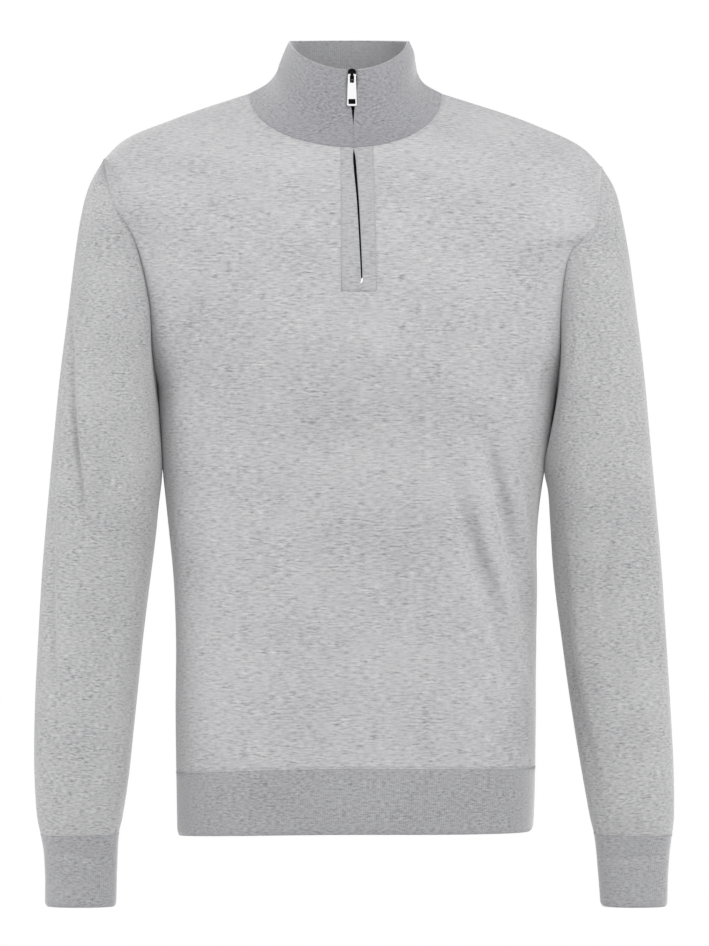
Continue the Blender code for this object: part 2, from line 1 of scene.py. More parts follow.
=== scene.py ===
# A fine-knit half-zip sweater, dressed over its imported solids: marled knit, denser rib, metal zip.
# Metres, +Z up. The front faces -Y and the wearer's right side lies at -X.

import math

import bpy
import numpy as np
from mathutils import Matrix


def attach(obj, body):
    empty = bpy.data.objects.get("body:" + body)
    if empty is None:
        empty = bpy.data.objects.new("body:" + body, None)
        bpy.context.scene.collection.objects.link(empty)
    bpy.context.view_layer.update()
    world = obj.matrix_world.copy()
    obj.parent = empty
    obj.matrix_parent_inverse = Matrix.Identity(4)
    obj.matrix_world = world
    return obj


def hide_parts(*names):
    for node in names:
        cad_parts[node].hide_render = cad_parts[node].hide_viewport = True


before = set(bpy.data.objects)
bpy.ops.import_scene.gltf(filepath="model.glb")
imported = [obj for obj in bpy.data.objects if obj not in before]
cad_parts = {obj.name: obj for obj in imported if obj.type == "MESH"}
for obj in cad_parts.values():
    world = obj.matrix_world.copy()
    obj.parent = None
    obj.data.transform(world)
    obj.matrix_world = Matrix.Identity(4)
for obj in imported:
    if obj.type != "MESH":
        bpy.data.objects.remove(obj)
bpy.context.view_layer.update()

mm = 0.001

# The garment's own grid, as in the solids: rows of the body upwards, rings of the arm downwards.
hemFoot, hemSeam, underarm, shoulderTip, neckSeam, collarTop, placketFoot = -3, 0, 12, 22, 28, 33, 17
cuffSeam, cuffFoot, armholeFade = 26, 31, 9
frontColumns, backColumns, ringPoints, armholePoints = 11, 10, 20, 10
fine = 8                 # steps of the visible cloth to one step of the solids
bandSteps = 6            # steps across each half of the placket
flushGap = 0.012         # mm round the placket, which is set in flush
# Pieces sewn together, in mm: the gap, drawn tight as knitwear is linked, and how near two points meet.
# Past this hollow, and this sharp, two pieces keep their own normals.
sewing = {"gap": 0.08, "meet": 0.07, "hollow": 0.02, "sharp": 0.05, "sharper": 0.15}
# How far an edge rounds over, mm: sewn, set in flush, folded round the zip. A free edge rounds fully.
edgeRound = {"sewn": 0.3, "flush": 0.012, "zip": 0.01}

# Side seam: row, x, z in mm, in the plane y = 0.
sideSeam = {
    "right": (
        (-3, -157, -666.5), (0, -158, -610), (2, -158.6, -552), (4, -158.2, -493), (6, -160.4, -436),
        (8, -166, -379), (10, -171.8, -321), (12, -174.5, -264),
    ),
    "left": (
        (-3, 163, -663), (0, 164.8, -605), (2, 165, -549), (4, 165.6, -493), (6, 165.6, -436),
        (8, 167.5, -379), (10, 176, -321), (12, 184, -268),
    ),
}
# Armhole: x, y, z, from the underarm up the front to the shoulder tip and down the back.
armhole = {
    "right": (
        (-174.5, 0, -264), (-178.5, -47, -232), (-181, -61, -186), (-193.5, -57.5, -134), (-214.5, -42, -96),
        (-223.5, 0, -59), (-219.5, 32, -82), (-205, 51, -120), (-190, 57, -165), (-180, 47, -226),
    ),
    "left": (
        (184, 0, -268), (186.5, -49, -234), (187, -61, -187), (194.5, -58, -145), (217, -45, -121),
        (224.5, 0, -66), (220.5, 32, -88), (205, 51, -123), (192, 56, -168), (185.5, 44, -231),
    ),
}
# Shoulder seam, then side line of the collar: row, x, z.
shoulderSeam = {
    "right": (
        (22, -223.5, -59), (23, -207.5, -43.5), (25, -163.5, -24), (28, -92.5, 0.4),
    ),
    "left": (
        (22, 224.5, -66), (23, 209, -50), (25, 163, -27.5), (28, 81.5, 0),
    ),
}
collarSide = {
    "right": (
        (28, -92.5, 0.4), (29, -77, 9), (30, -68.6, 18.5), (31, -65, 28), (32, -61, 38), (33, -56.4, 48.2),
    ),
    "left": (
        (28, 81.5, 0), (29, 65.4, 9), (30, 59.2, 18.5), (31, 57.2, 28), (32, 55.6, 38), (33, 51.2, 48.2),
    ),
}
# Middle line: row, x, depth from the plane y = 0, z, squareness, droop from the side to the middle.
bodyMiddle = {
    "front": (
        (-3, 3, 103, -661.8, 2.6, 2), (0, 3, 105, -602.5, 2.6, 2), (3, 4, 107.5, -515, 2.6, 2),
        (6, 5, 110, -427, 2.6, 2), (9, 6, 114.5, -340, 2.5, 2), (12, 7.5, 120.5, -252, 2.5, 2),
        (14, 8.5, 121.8, -224, 2.5, 2), (17, 9, 119, -181, 2.5, 2), (19.5, 7.5, 112, -142, 2.4, 1.9),
        (22, 5.4, 101, -103, 2.3, 1.8), (25, 3.3, 89, -77, 2.2, 1.4), (28, 1.4, 76, -52, 2.1, 1),
    ),
    "back": (
        (-3, 0, 101, -662, 2.6, 2), (0, 0, 102, -604, 2.6, 2), (3, 0, 98.5, -517, 2.6, 2),
        (6, 0, 94, -430, 2.6, 2), (9, 0, 97.5, -342, 2.5, 2), (12, 0, 105.5, -252, 2.5, 2),
        (14, -0.5, 108, -220, 2.5, 2), (17, -1, 107, -168, 2.5, 2), (19.5, -1.5, 101.5, -120, 2.4, 1.9),
        (22, -2, 91, -73, 2.3, 1.8), (25, -3, 76.5, -38, 2.2, 1.4), (28, -4.5, 60, -8, 2.1, 1),
    ),
}
collarMiddle = {
    "front": (
        (28, 1.4, 76, -52, 2.1, 1), (29, 1.3, 75, -38, 2.1, 1.05), (31, 0.7, 73.2, -10, 2.1, 1.2),
        (33, 0, 71.5, 18, 2.1, 1.3),
    ),
    "back": (
        (28, -4.5, 60, -8, 2.1, 1), (29, -4, 55.5, 3.5, 2.1, 1.05), (31, -3, 52, 27.5, 2.1, 1.1),
        (33, -2, 49, 51.4, 2.1, 1),
    ),
}
# Placket band: row, width to the right of the zip line, width to its left. Zip opening: row, half width.
placketBand = ((-3, 16, 16), (0, 16, 16), (17, 18.8, 12.6), (22, 15.2, 14.8), (28, 11.6, 17.2))
# The opening's flat rows keep its cubic from dipping below zero, where the edges would cross.
zipOpening = (
    (17, 0.008), (17.5, 0.008), (17.6, 0.012), (17.8, 0.5), (18.4, 0.66), (20, 0.78), (23, 0.98), (25.5, 1.2),
    (26.8, 1.12), (27.5, 0.62), (27.85, 0.03), (28, 0.008), (28.5, 0.008), (29, 0.008), (29.2, 0.012),
    (29.4, 0.03), (29.8, 0.45), (30.3, 1.15), (30.7, 1.75), (31.2, 2.5), (31.9, 4.1), (33, 4.1),
)
# Arm: ring, outer x and z, inner x and z. Then, for both arms: ring, middle y, half depth.
arm = {
    "right": (
        (0, -223.5, -59, -174.5, -264), (2, -236, -83, -174.2, -285), (4, -243.3, -111, -173.3, -304),
        (6, -249, -150, -171.4, -330), (8, -255.4, -203, -173, -360), (10, -262.2, -257, -175.3, -390),
        (12, -267.6, -312, -178.6, -420), (14, -272.4, -365, -182.3, -450), (16, -277.4, -425, -187, -490),
        (18, -280.9, -485, -190.9, -530), (20, -283.7, -545, -195.2, -572), (22, -284.4, -600, -199.6, -613),
        (24, -282.2, -643, -205, -648), (26, -278.4, -664, -208.2, -663), (27, -276.2, -675, -209, -674),
        (29, -274.3, -701, -210, -701), (31, -274.3, -728.5, -210.7, -728.5),
    ),
    "left": (
        (0, 224.5, -66, 184, -268), (2, 236.2, -87, 182.4, -288), (4, 242.8, -113, 179.7, -307),
        (6, 249.2, -150, 174.8, -332), (8, 256, -203, 175.4, -360), (10, 262.5, -257, 177.2, -390),
        (12, 267.5, -312, 180, -420), (14, 272.3, -365, 183.4, -450), (16, 277.4, -425, 189, -490),
        (18, 281.2, -485, 194.4, -530), (20, 284.8, -545, 200.7, -572), (22, 287.6, -600, 207.4, -613),
        (24, 288.2, -643, 213.4, -648), (26, 286.2, -664, 216.6, -663), (27, 284.6, -675, 218, -674),
        (29, 282.6, -701, 220.2, -701), (31, 281.8, -728.5, 222.2, -728.5),
    ),
}
armDepth = (
    (0, 0, 61), (2, -9, 61), (4, -15, 60), (6, -19, 58), (8, -20, 56), (10, -20, 54), (12, -20, 51),
    (14, -21, 49), (16, -23, 46), (18, -26, 44), (20, -30, 42), (22, -33, 40), (24, -36, 36), (26, -39, 30),
    (27, -40, 27), (29, -41, 25), (31, -42, 25),
)
armSquareness = 2.2

# Ring, shift of the sleeve's inner line in x, mm.
leaning = {
    "right": (
        (0, 0), (1, 0.5), (2, 1.6), (4.5, 1.8), (6, 1.5), (7.4, 1.3), (8.8, 0.2), (10, 0), (31, 0),
    ),
    "left": (
        (0, 0), (1.5, -0.2), (3, -1.7), (5, -2.2), (6.6, -2), (7.8, 0.6), (9.5, 1), (12, 0), (31, 0),
    ),
}

# The solids' own folds: points x, z in mm, half width, depth (a ridge is negative).
formFolds = {
    "front": (
        (((91, -347), (109, -405), (131, -453), (148, -506), (154, -551)), 9, 5.5),
        (((122, -321), (144, -418), (154, -462)), 8, 4),
        (((113, -365), (135, -444), (148, -489)), 8, -3),
        (((118, -533), (131, -577)), 9, 2.5),
        (((-121, -300), (-121, -395)), 12, 2.5),
        (((-136, -185), (-134, -222)), 12, 2.5),
        (((-92, -14), (-62, -44), (-24, -58)), 9, 2.5),
        (((84, -14), (60, -42), (30, -56)), 9, 2.5),
    ),
    "back": (
        (((-150, -330), (-118, -392), (-70, -430)), 13, 5),
        (((150, -345), (112, -402), (60, -438)), 13, 5),
        (((-148, -420), (-110, -462), (-60, -480)), 12, 3.5),
        (((146, -440), (104, -476), (58, -492)), 12, 3.5),
        (((-60, -90), (0, -108), (60, -92)), 16, 3),
    ),
    "sleeveFront": (
        (((-252, -200), (-248, -275), (-242, -338), (-236, -392)), 9, 3.5),
        (((-273, -425), (-269, -473), (-265, -527), (-261, -577)), 8, 2.5),
        (((-222, -230), (-215, -300)), 10, 2),
        (((234, -383), (227, -428), (223, -473)), 9, 3),
        (((247, -500), (240, -590)), 10, 2),
        (((214, -190), (206, -262)), 10, 2),
    ),
    "sleeveBack": (
        (((-262, -330), (-235, -372), (-205, -392)), 10, 3.5),
        (((262, -335), (235, -376), (208, -396)), 10, 3.5),
        (((-268, -460), (-236, -500)), 10, 2.5),
        (((268, -466), (238, -506)), 10, 2.5),
    ),
}


def unit(vectors):
    # Each vector divided by its length.
    return vectors / np.maximum(np.linalg.norm(vectors, axis=-1, keepdims=True), 1e-12)


def smoothStep(value, low, high):
    # 3 t^2 - 2 t^3, where t grows from 0 at low to 1 at high.
    t = np.clip((value - low) / (high - low), 0, 1)
    return t ** 2 * (3 - 2 * t)


def awayFrom(at, first, last, near=2):
    # 0 at first and last, and 1 from near past the first to 2 before the last, in straight lines.
    return np.clip((at - first) / near, 0, 1) * np.clip((last - at) / 2, 0, 1)


def smooth(table, at):
    # Cubic through a table's rows: each value between two rows keeps their heights and mean slopes.
    rows = np.array(table, float)
    key, values = rows[:, 0], rows[:, 1:]
    slope = np.gradient(values, key, axis=0)
    at = np.clip(np.asarray(at, float), key[0], key[-1])
    i = np.clip(np.searchsorted(key, at, side="right") - 1, 0, len(key) - 2)
    span = (key[i + 1] - key[i])[..., None]
    f = (at - key[i])[..., None] / span
    start = values[i] * (1 + 2 * f) + slope[i] * span * f
    end = values[i + 1] * (3 - 2 * f) + slope[i + 1] * span * (f - 1)
    return start * (1 - f) ** 2 + end * f ** 2


def aroundArmhole(side, station):
    # Closed cubic through the armhole's points: station 0 is the underarm, 5 the shoulder tip.
    points = armhole[side]
    table = [(k, *points[k % armholePoints]) for k in range(-3, armholePoints + 4)]
    return smooth(table, station)


def edgePoint(side, face, row):
    # Where a row ends: on the side seam, the armhole, the shoulder seam or the collar's side line.
    row = np.asarray(row, float)
    reach = (row - underarm) / 2
    station = reach if face == "front" else armholePoints - reach
    inPlane = smooth(sideSeam[side], row)
    inPlane = np.where((row > shoulderTip)[..., None], smooth(shoulderSeam[side], row), inPlane)
    inPlane = np.where((row > neckSeam)[..., None], smooth(collarSide[side], row), inPlane)
    flat = np.stack([inPlane[..., 0], np.zeros_like(row), inPlane[..., 1]], axis=-1)
    onArmhole = (row >= underarm) & (row <= shoulderTip)
    return np.where(onArmhole[..., None], aroundArmhole(side, station), flat)


def rowShape(side, face, row):
    # A row's edge, middle line and exponents, and the half width that carries its loop through the edge:
    # half width = (edge x - middle x) / (1 - |edge y / depth| ^ power) ^ (1 / power).
    row = np.asarray(row, float)
    edge = edgePoint(side, face, row)
    middle = np.where((row > neckSeam)[..., None], smooth(collarMiddle[face], row),
                      smooth(bodyMiddle[face], row))
    middleX, depth, middleZ, power, droop = np.moveaxis(middle, -1, 0)
    near = np.abs(edge[..., 1]) / depth
    reach = (1 - near ** power) ** (1 / power)
    halfWidth = (edge[..., 0] - middleX) / reach
    return edge, middleX, depth, middleZ, power, droop, halfWidth, np.arctan2(reach, near)


def trunkPoint(side, face, row, turn):
    # Rounded loop: |x / half width| ^ power + |y / depth| ^ power = 1, with turn as its angle,
    # and z bent from the panel's edge to its middle line by cos(turn) ^ droop.
    edge, middleX, depth, middleZ, power, droop, halfWidth, edgeAngle = rowShape(side, face, row)
    angle = turn * edgeAngle
    size = (np.sin(angle) ** power + np.cos(angle) ** power) ** (1 / power)
    x = middleX + halfWidth * np.sin(angle) / size
    y = depth * np.cos(angle) / size * (-1 if face == "front" else 1)
    z = edge[..., 2] + (middleZ - edge[..., 2]) * np.maximum(np.cos(turn * math.pi / 2), 0) ** droop
    return np.stack([x, y, z], axis=-1)


def turnAt(side, face, row, offset):
    # The turn of a point that lies this far to the side of the middle line.
    power, halfWidth, edgeAngle = [rowShape(side, face, row)[k] for k in (4, 6, 7)]
    across = np.abs(offset / halfWidth)
    return np.arctan2(across, (1 - across ** power) ** (1 / power)) / edgeAngle


def lineDistance(line, x, z):
    # Signed distance from a polyline, and the share of its length that lies before the nearest point.
    points = np.array(line, float)
    lengths = np.hypot(*(points[1:] - points[:-1]).T)
    before = np.concatenate([[0], np.cumsum(lengths)])
    nearest, signed, along = np.full_like(x, np.inf), np.zeros_like(x), np.zeros_like(x)
    for k, (start, end) in enumerate(zip(points[:-1], points[1:])):
        direction = (end - start) / lengths[k]
        dx, dz = x - start[0], z - start[1]
        run = dx * direction[0] + dz * direction[1]
        held = np.clip(run, 0, lengths[k])
        away = np.hypot(dx - held * direction[0], dz - held * direction[1])
        closer = away < nearest
        nearest = np.where(closer, away, nearest)
        signed = np.where(closer, away * np.sign(dx * direction[1] - dz * direction[0]), signed)
        along = np.where(closer, (before[k] + held) / before[-1], along)
    return signed, along


# How far folds and creases still reach at the ends of their lines, how fast a crease thins out, and a
# crease's lip: its place and its width in half widths of the trough.
foldShape = {"formEnd": 0.08, "creaseEnd": 0.03, "creasePower": 1.2, "lipAt": 1.9, "lipWide": 1.1}


def archAlong(along, end):
    # sin(pi * (end + (1 - 2 * end) * along)), which is 1 halfway along the line.
    return np.sin(math.pi * (end + (1 - 2 * end) * along))


def formDepth(folds, x, z):
    # Depth * bell across the line * arch along it, summed over the solids' folds.
    total = np.zeros_like(x)
    for line, halfWidth, depth in folds:
        signed, along = lineDistance(line, x, z)
        total += depth * np.exp(-(signed / halfWidth) ** 2) * archAlong(along, foldShape["formEnd"])
    return total


def creaseDepth(creases, x, z):
    # Finer creases: a trough with a lip beside it, both fading along a line drawn through the points.
    total = np.zeros_like(x)
    for line, halfWidth, depth, lip in creases:
        count = len(line)
        curve = smooth([(k, *p) for k, p in enumerate(line)], np.linspace(0, count - 1, 8 * count))
        signed, along = lineDistance(curve, x, z)
        trough = np.exp(-(signed / halfWidth) ** 2)
        fromLip = signed - math.copysign(foldShape["lipAt"] * halfWidth, lip)
        ridge = np.exp(-(fromLip / (foldShape["lipWide"] * halfWidth)) ** 2)
        fade = archAlong(along, foldShape["creaseEnd"]) ** foldShape["creasePower"]
        total += depth * (trough - abs(lip) * ridge) * fade
    return total


def foldPanel(points, folds, facing):
    # y + depth of the folds * facing, which is positive where the cloth faces the front.
    pushed = points.copy()
    pushed[..., 1] += formDepth(folds, points[..., 0], points[..., 2]) * facing
    return pushed


def awayFromSeams(rows):
    # How free the body's cloth is to fold, row by row.
    return awayFrom(rows, hemSeam, neckSeam)[:, None]


def steps(first, last, finer=fine):
    # Even places from first to last, finer to one step of the solids.
    return np.linspace(first, last, round((last - first) * finer) + 1)


def frontTurns(side, rows):
    # Turns of the front's columns on one side, from its edge to the placket band.
    band = smooth(placketBand, rows)[..., 0 if side == "right" else 1]
    atBand = turnAt(side, "front", rows, band)[:, None]
    return 1 + (atBand - 1) * np.linspace(0, 1, frontColumns * fine + 1)


def frontGrid(rows):
    # Each side from its edge to the placket band and on to the middle line, folded, then both joined.
    sides = []
    for side in ("right", "left"):
        turns = frontTurns(side, rows)
        middle = turns[:, -1:] * np.linspace(1, 0, bandSteps + 1)[1:]
        turns = np.concatenate([turns, middle], axis=1)
        points = trunkPoint(side, "front", rows[:, None], turns)
        facing = np.cos(turns * math.pi / 2) ** 0.5 * awayFromSeams(rows)
        sides.append(foldPanel(points, formFolds["front"], facing))
    return np.concatenate([sides[0], sides[1][:, -2::-1]], axis=1)


def backGrid(rows):
    # Both sides from edge to middle line in even turns, folded, and joined at their mean.
    turns = np.linspace(1, 0, backColumns * fine + 1)
    facing = -np.cos(turns * math.pi / 2) ** 0.5 * awayFromSeams(rows)
    sides = [foldPanel(trunkPoint(side, "back", rows[:, None], turns[None]), formFolds["back"], facing)
             for side in ("right", "left")]
    sides[0][:, -1] = sides[1][:, -1] = (sides[0][:, -1] + sides[1][:, -1]) / 2
    return np.concatenate([sides[0], sides[1][:, -2::-1]], axis=1)


def hemGrid(rows):
    # The front's columns, then the back's in the other direction: one closed ring a row.
    return np.concatenate([frontGrid(rows), backGrid(rows)[:, -2:0:-1]], axis=1)


def zipEdge(side, rows, offset):
    # A line of points beside the zip line, at a distance that may change from row to row.
    return trunkPoint(side, "front", rows, turnAt(side, "front", rows, offset))


def placketGrid(side, rows):
    # Columns in even shares from the band's outer edge to the zip's opening.
    band = smooth(placketBand, rows)[..., 0 if side == "right" else 1] - flushGap
    opening = smooth(zipOpening, rows)[..., 0]
    shares = np.linspace(0, 1, bandSteps + 1)
    return np.stack([zipEdge(side, rows, band + (opening - band) * share) for share in shares], axis=1)


def collarGrid(rows):
    # From the right edge of the zip round the back of the neck to the left edge.
    halves = []
    for side in ("right", "left"):
        front = frontTurns(side, np.array([float(neckSeam)]))[0]
        atZip = turnAt(side, "front", rows, smooth(zipOpening, rows)[..., 0])[:, None]
        share = np.linspace(0, 1, bandSteps + 1)[:-1]
        near = atZip + (front[-1] - atZip) * share
        turns = np.concatenate([near, np.tile(front[::-1], (len(rows), 1))], axis=1)
        aroundFront = trunkPoint(side, "front", rows[:, None], turns)
        aroundBack = trunkPoint(side, "back", rows[:, None], np.linspace(1, 0, backColumns * fine + 1)[None])
        halves.append(np.concatenate([aroundFront, aroundBack[:, 1:]], axis=1))
    return np.concatenate([halves[0], halves[1][:, -2::-1]], axis=1)


armTurn = np.arange(ringPoints * fine) * 2 * math.pi / (ringPoints * fine)   # from the outer side, forward


def armRing(side, ring):
    # Rounded loop round the arm, from its outer side over the front to the inner side and the back.
    # Its half width and depth follow |cos| ^ squareness + |sin| ^ squareness = 1.
    outerX, outerZ, innerX, innerZ = np.moveaxis(smooth(arm[side], ring), -1, 0)
    middleY, depth = np.moveaxis(smooth(armDepth, ring), -1, 0)
    power = armSquareness
    size = (np.abs(np.sin(armTurn)) ** power + np.abs(np.cos(armTurn)) ** power) ** (1 / power)
    out, forward = np.cos(armTurn) / size, np.sin(armTurn) / size
    x = (outerX + innerX) / 2 + (outerX - innerX) / 2 * out
    z = (outerZ + innerZ) / 2 + (outerZ - innerZ) / 2 * out
    return np.stack([x, middleY - depth * forward, z], axis=-1)


def armGrid(side, rings):
    # Rings of the arm. Near the shoulder each takes on the armhole's own shape: ring + (armhole - first
    # ring) * smooth step. Folds are pushed in from the front and the back.
    rings = np.asarray(rings, float)[:, None]
    station = np.linspace(armholePoints / 2, -armholePoints / 2, len(armTurn), endpoint=False)
    ownShape = aroundArmhole(side, station % armholePoints) - armRing(side, np.zeros(1))
    points = armRing(side, rings) + ownShape[None] * smoothStep(1 - rings[..., None] / armholeFade, 0, 1)
    forward = np.sin(armTurn)[None]
    free = awayFrom(rings, 0, cuffSeam, 3)
    points = foldPanel(points, formFolds["sleeveFront"], np.maximum(forward, 0) ** 0.5 * free)
    points = foldPanel(points, formFolds["sleeveBack"], -np.maximum(-forward, 0) ** 0.5 * free)
    # Where the upper sleeve rests on the body, its inner line leans towards the middle.
    points[..., 0] += smooth(leaning[side], rings[:, 0]) * np.maximum(-np.cos(armTurn), 0)[None] ** 2
    return points


def gridNormals(points, closed):
    # Unit of (step across the columns) x (step up the rows).
    if closed:
        across = np.roll(points, -1, axis=1) - np.roll(points, 1, axis=1)
    else:
        across = np.gradient(points, axis=1)
    return unit(np.cross(across, np.gradient(points, axis=0)))


def clothPanel(name, points, wall, closed=False, flip=False, hole=None, relief=0, free=()):
    # A grid of outer points in mm, with the finer creases pushed in: points - normals * relief.
    # Edges that aren't sewn on are given as their place in the grid and how far they round over.
    facing = -1 if flip else 1
    points = points - gridNormals(points, closed) * facing * np.asarray(relief)[..., None]
    return {"name": name, "points": points, "normals": gridNormals(points, closed) * facing, "wall": wall,
            "closed": closed, "flip": flip, "hole": hole, "free": free}


def panelBorder(panel):
    # Which points lie on an edge, and the way from there into the piece.
    points = panel["points"]
    inward, edge = np.zeros_like(points), np.zeros(points.shape[:2], bool)
    borders = [(np.s_[0], np.s_[1]), (np.s_[-1], np.s_[-2])]
    if not panel["closed"]:
        borders += [(np.s_[:, 0], np.s_[:, 1]), (np.s_[:, -1], np.s_[:, -2])]
    for border, beside in borders:
        edge[border] = True
        inward[border] += unit(points[beside] - points[border])
    return edge, inward


def openSeams(panels):
    # Points that pieces share move apart, each by half the gap away from the others' mean inward way,
    # and get one normal, the sum of theirs, except where they meet in a deep hollow.
    found = [(panel, *panelBorder(panel)) for panel in panels]
    points = np.concatenate([panel["points"][edge] for panel, edge, inward in found])
    normals = np.concatenate([panel["normals"][edge] for panel, edge, inward in found])
    inwards = np.concatenate([unit(inward[edge]) for panel, edge, inward in found])
    group = np.unique(np.round(points / sewing["meet"]).astype(int), axis=0, return_inverse=True)[1].ravel()
    count = np.bincount(group)[group][:, None]

    def total(vectors):
        # The sum over each group of points, given back to each of its points.
        held = np.zeros((group.max() + 1, 3))
        np.add.at(held, group, vectors)
        return held[group]

    others = np.maximum(count - 1, 1)
    summed, together = total(normals), total(inwards)
    hollow = (together * summed).sum(axis=1, keepdims=True) > sewing["hollow"]
    apart = 1 - np.linalg.norm(summed, axis=1, keepdims=True) / (others + 1)
    own = hollow * np.clip((apart - sewing["sharp"]) / sewing["sharper"], 0, 1)
    shared = unit(unit(summed) * (1 - own) + normals * own)
    away = inwards - (together - inwards) / others
    parted = np.where(count > 1, unit(away) * sewing["gap"] / 2, 0)
    start = 0
    for panel, edge, inward in found:
        part = np.s_[start:start + int(edge.sum())]
        panel["normals"][edge] = shared[part]
        panel["points"][edge] += parted[part]
        start = part.stop


shoulderMap = {"from": -0.11, "more": 6.0}


def knitMap(panel, upright, shift):
    # Metres on the cloth. Along the courses, u is arc length along a row from its middle. Up the wales, v is
    # height along upright, or else the rows' mean arc length. Over the shoulders, where the cloth lies flatter,
    # v grows faster: v = height + more * (height - from) ^ 2. The shift gives each piece its own marl.
    points = panel["points"] * mm
    if panel["closed"]:
        points = np.concatenate([points, points[:, :1]], axis=1)
    length = np.linalg.norm(np.diff(points, axis=1), axis=-1)
    u = np.concatenate([np.zeros((len(points), 1)), np.cumsum(length, axis=1)], axis=1)
    u -= u[:, [u.shape[1] // 2]]
    if upright:
        height = points @ np.array(upright)
        v = height + shoulderMap["more"] * np.clip(height - shoulderMap["from"], 0, None) ** 2
    else:
        rise = np.linalg.norm(np.diff(points, axis=0), axis=-1).mean(axis=1)
        v = np.broadcast_to(np.concatenate([[0], np.cumsum(rise)])[:, None], u.shape)
    return np.stack([u + shift, v], axis=-1)


def clothPiece(panel, finish, upright=None, shift=0.0, lining=None, rimTurns=4):
    # Outer wall, inner wall = outer - normal * wall, and round every border a rim of half a circle:
    # middle + normal * half * cos a - outward * rounding * (1 - sin a), for a from 0 to two right angles.
    outer, normals, wall = panel["points"] * mm, panel["normals"], panel["wall"] * mm
    rows, columns = outer.shape[:2]
    total, half = rows * columns, wall / 2
    uvGrid = knitMap(panel, upright, shift)
    kept = np.ones((rows - 1, columns if panel["closed"] else columns - 1), bool)
    if panel["hole"]:
        kept[panel["hole"][0]:, panel["hole"][1]:panel["hole"][2]] = False
    r, c = np.nonzero(kept)
    low, high, right = r * columns, (r + 1) * columns, (c + 1) % columns
    quads = np.stack([low + c, low + right, high + right, high + c], axis=1)
    uvs = np.stack([uvGrid[r, c], uvGrid[r, c + 1], uvGrid[r + 1, c + 1], uvGrid[r + 1, c]], axis=1)
    flat, flatNormals = outer.reshape(-1, 3), normals.reshape(-1, 3)
    # Border edges are those that only one quad has.
    starts, ends = quads.ravel(), np.roll(quads, -1, axis=1).ravel()
    lone = ~np.isin(starts.astype(np.int64) * total + ends, ends.astype(np.int64) * total + starts)
    a, b = starts[lone], ends[lone]
    uvA, uvB = uvs.reshape(-1, 2)[lone], np.roll(uvs, -1, axis=1).reshape(-1, 2)[lone]
    # At a border point, outward leads off the cloth, at right angles to its edge and its normal.
    push = (flat[a] + flat[b]) / 2 - np.repeat(flat[quads].mean(axis=1), 4, axis=0)[lone]
    edgeWay = unit(flat[b] - flat[a])
    push = unit(push - edgeWay * (push * edgeWay).sum(axis=1, keepdims=True))
    outward = np.zeros_like(flat)
    np.add.at(outward, a, push)
    np.add.at(outward, b, push)
    outward = unit(outward - flatNormals * (outward * flatNormals).sum(axis=1, keepdims=True))
    border = np.unique(np.concatenate([a, b]))
    outward, facing = outward[border], flatNormals[border]
    rounding = np.full((rows, columns), edgeRound["sewn"] * mm)
    for place, kind in panel["free"]:
        rounding[place] = edgeRound[kind] * mm if kind in edgeRound else half
    rounding = rounding.ravel()[border][:, None]
    rings = []
    for k in range(1, rimTurns):
        angle = math.pi * k / rimTurns
        rings.append(flat[border] - facing * half + facing * half * math.cos(angle)
                     - outward * rounding * (1 - math.sin(angle)))
    inner = flat - flatNormals * wall
    flat = flat.copy()
    flat[border] -= outward * rounding
    inner[border] -= outward * rounding
    place = np.full(total, -1)
    place[border] = np.arange(len(border))
    levels = [np.arange(total), *(2 * total + k * len(border) + place for k in range(rimTurns - 1)),
              np.arange(total) + total]
    faces, faceUvs = [quads, quads[:, ::-1] + total], [uvs, uvs[:, ::-1]]
    for low, high in zip(levels[:-1], levels[1:]):
        faces.append(np.stack([low[b], low[a], high[a], high[b]], axis=1))
        faceUvs.append(np.stack([uvB, uvA, uvA, uvB], axis=1))
    faces, faceUvs = np.concatenate(faces), np.concatenate(faceUvs)
    if panel["flip"]:
        faces, faceUvs = faces[:, ::-1], faceUvs[:, ::-1]
    piece = meshPiece(panel["name"], np.concatenate([flat, inner, *rings]), faces, finish, faceUvs)
    if lining:
        piece.data.materials.append(lining)
        layer = np.zeros(len(faces), np.int32)
        layer[len(quads):2 * len(quads)] = 1
        piece.data.polygons.foreach_set("material_index", layer)
    return piece


def placed(name, data):
    # An object at the origin, unturned and unscaled.
    holder = bpy.data.objects.new(name, data)
    bpy.context.collection.objects.link(holder)
    return holder


def meshPiece(name, points, faces, finish, uvs):
    # Points and quads straight into a mesh. Points that no face uses are dropped.
    used, faces = np.unique(faces, return_inverse=True)
    faces = faces.reshape(-1, 4)
    mesh = bpy.data.meshes.new(name)
    mesh.vertices.add(len(used))
    mesh.vertices.foreach_set("co", points[used].astype(np.float32).ravel())
    mesh.loops.add(faces.size)
    mesh.loops.foreach_set("vertex_index", faces.astype(np.int32).ravel())
    mesh.polygons.add(len(faces))
    mesh.polygons.foreach_set("loop_start", np.arange(0, faces.size, 4, dtype=np.int32))
    mesh.update(calc_edges=True)
    mesh.uv_layers.new(name="knit").uv.foreach_set("vector", uvs.astype(np.float32).ravel())
    mesh.validate()
    mesh.shade_smooth()
    mesh.materials.append(finish)
    return placed(name, mesh)


def tubeFaces(count, around):
    # Quads between the rings of a tube, ring after ring.
    i, k = np.meshgrid(np.arange(count - 1), np.arange(around), indexing="ij")
    low, high, after = i * around, (i + 1) * around, (k + 1) % around
    return np.stack([low + k, low + after, high + after, high + k], axis=-1).reshape(-1, 4)


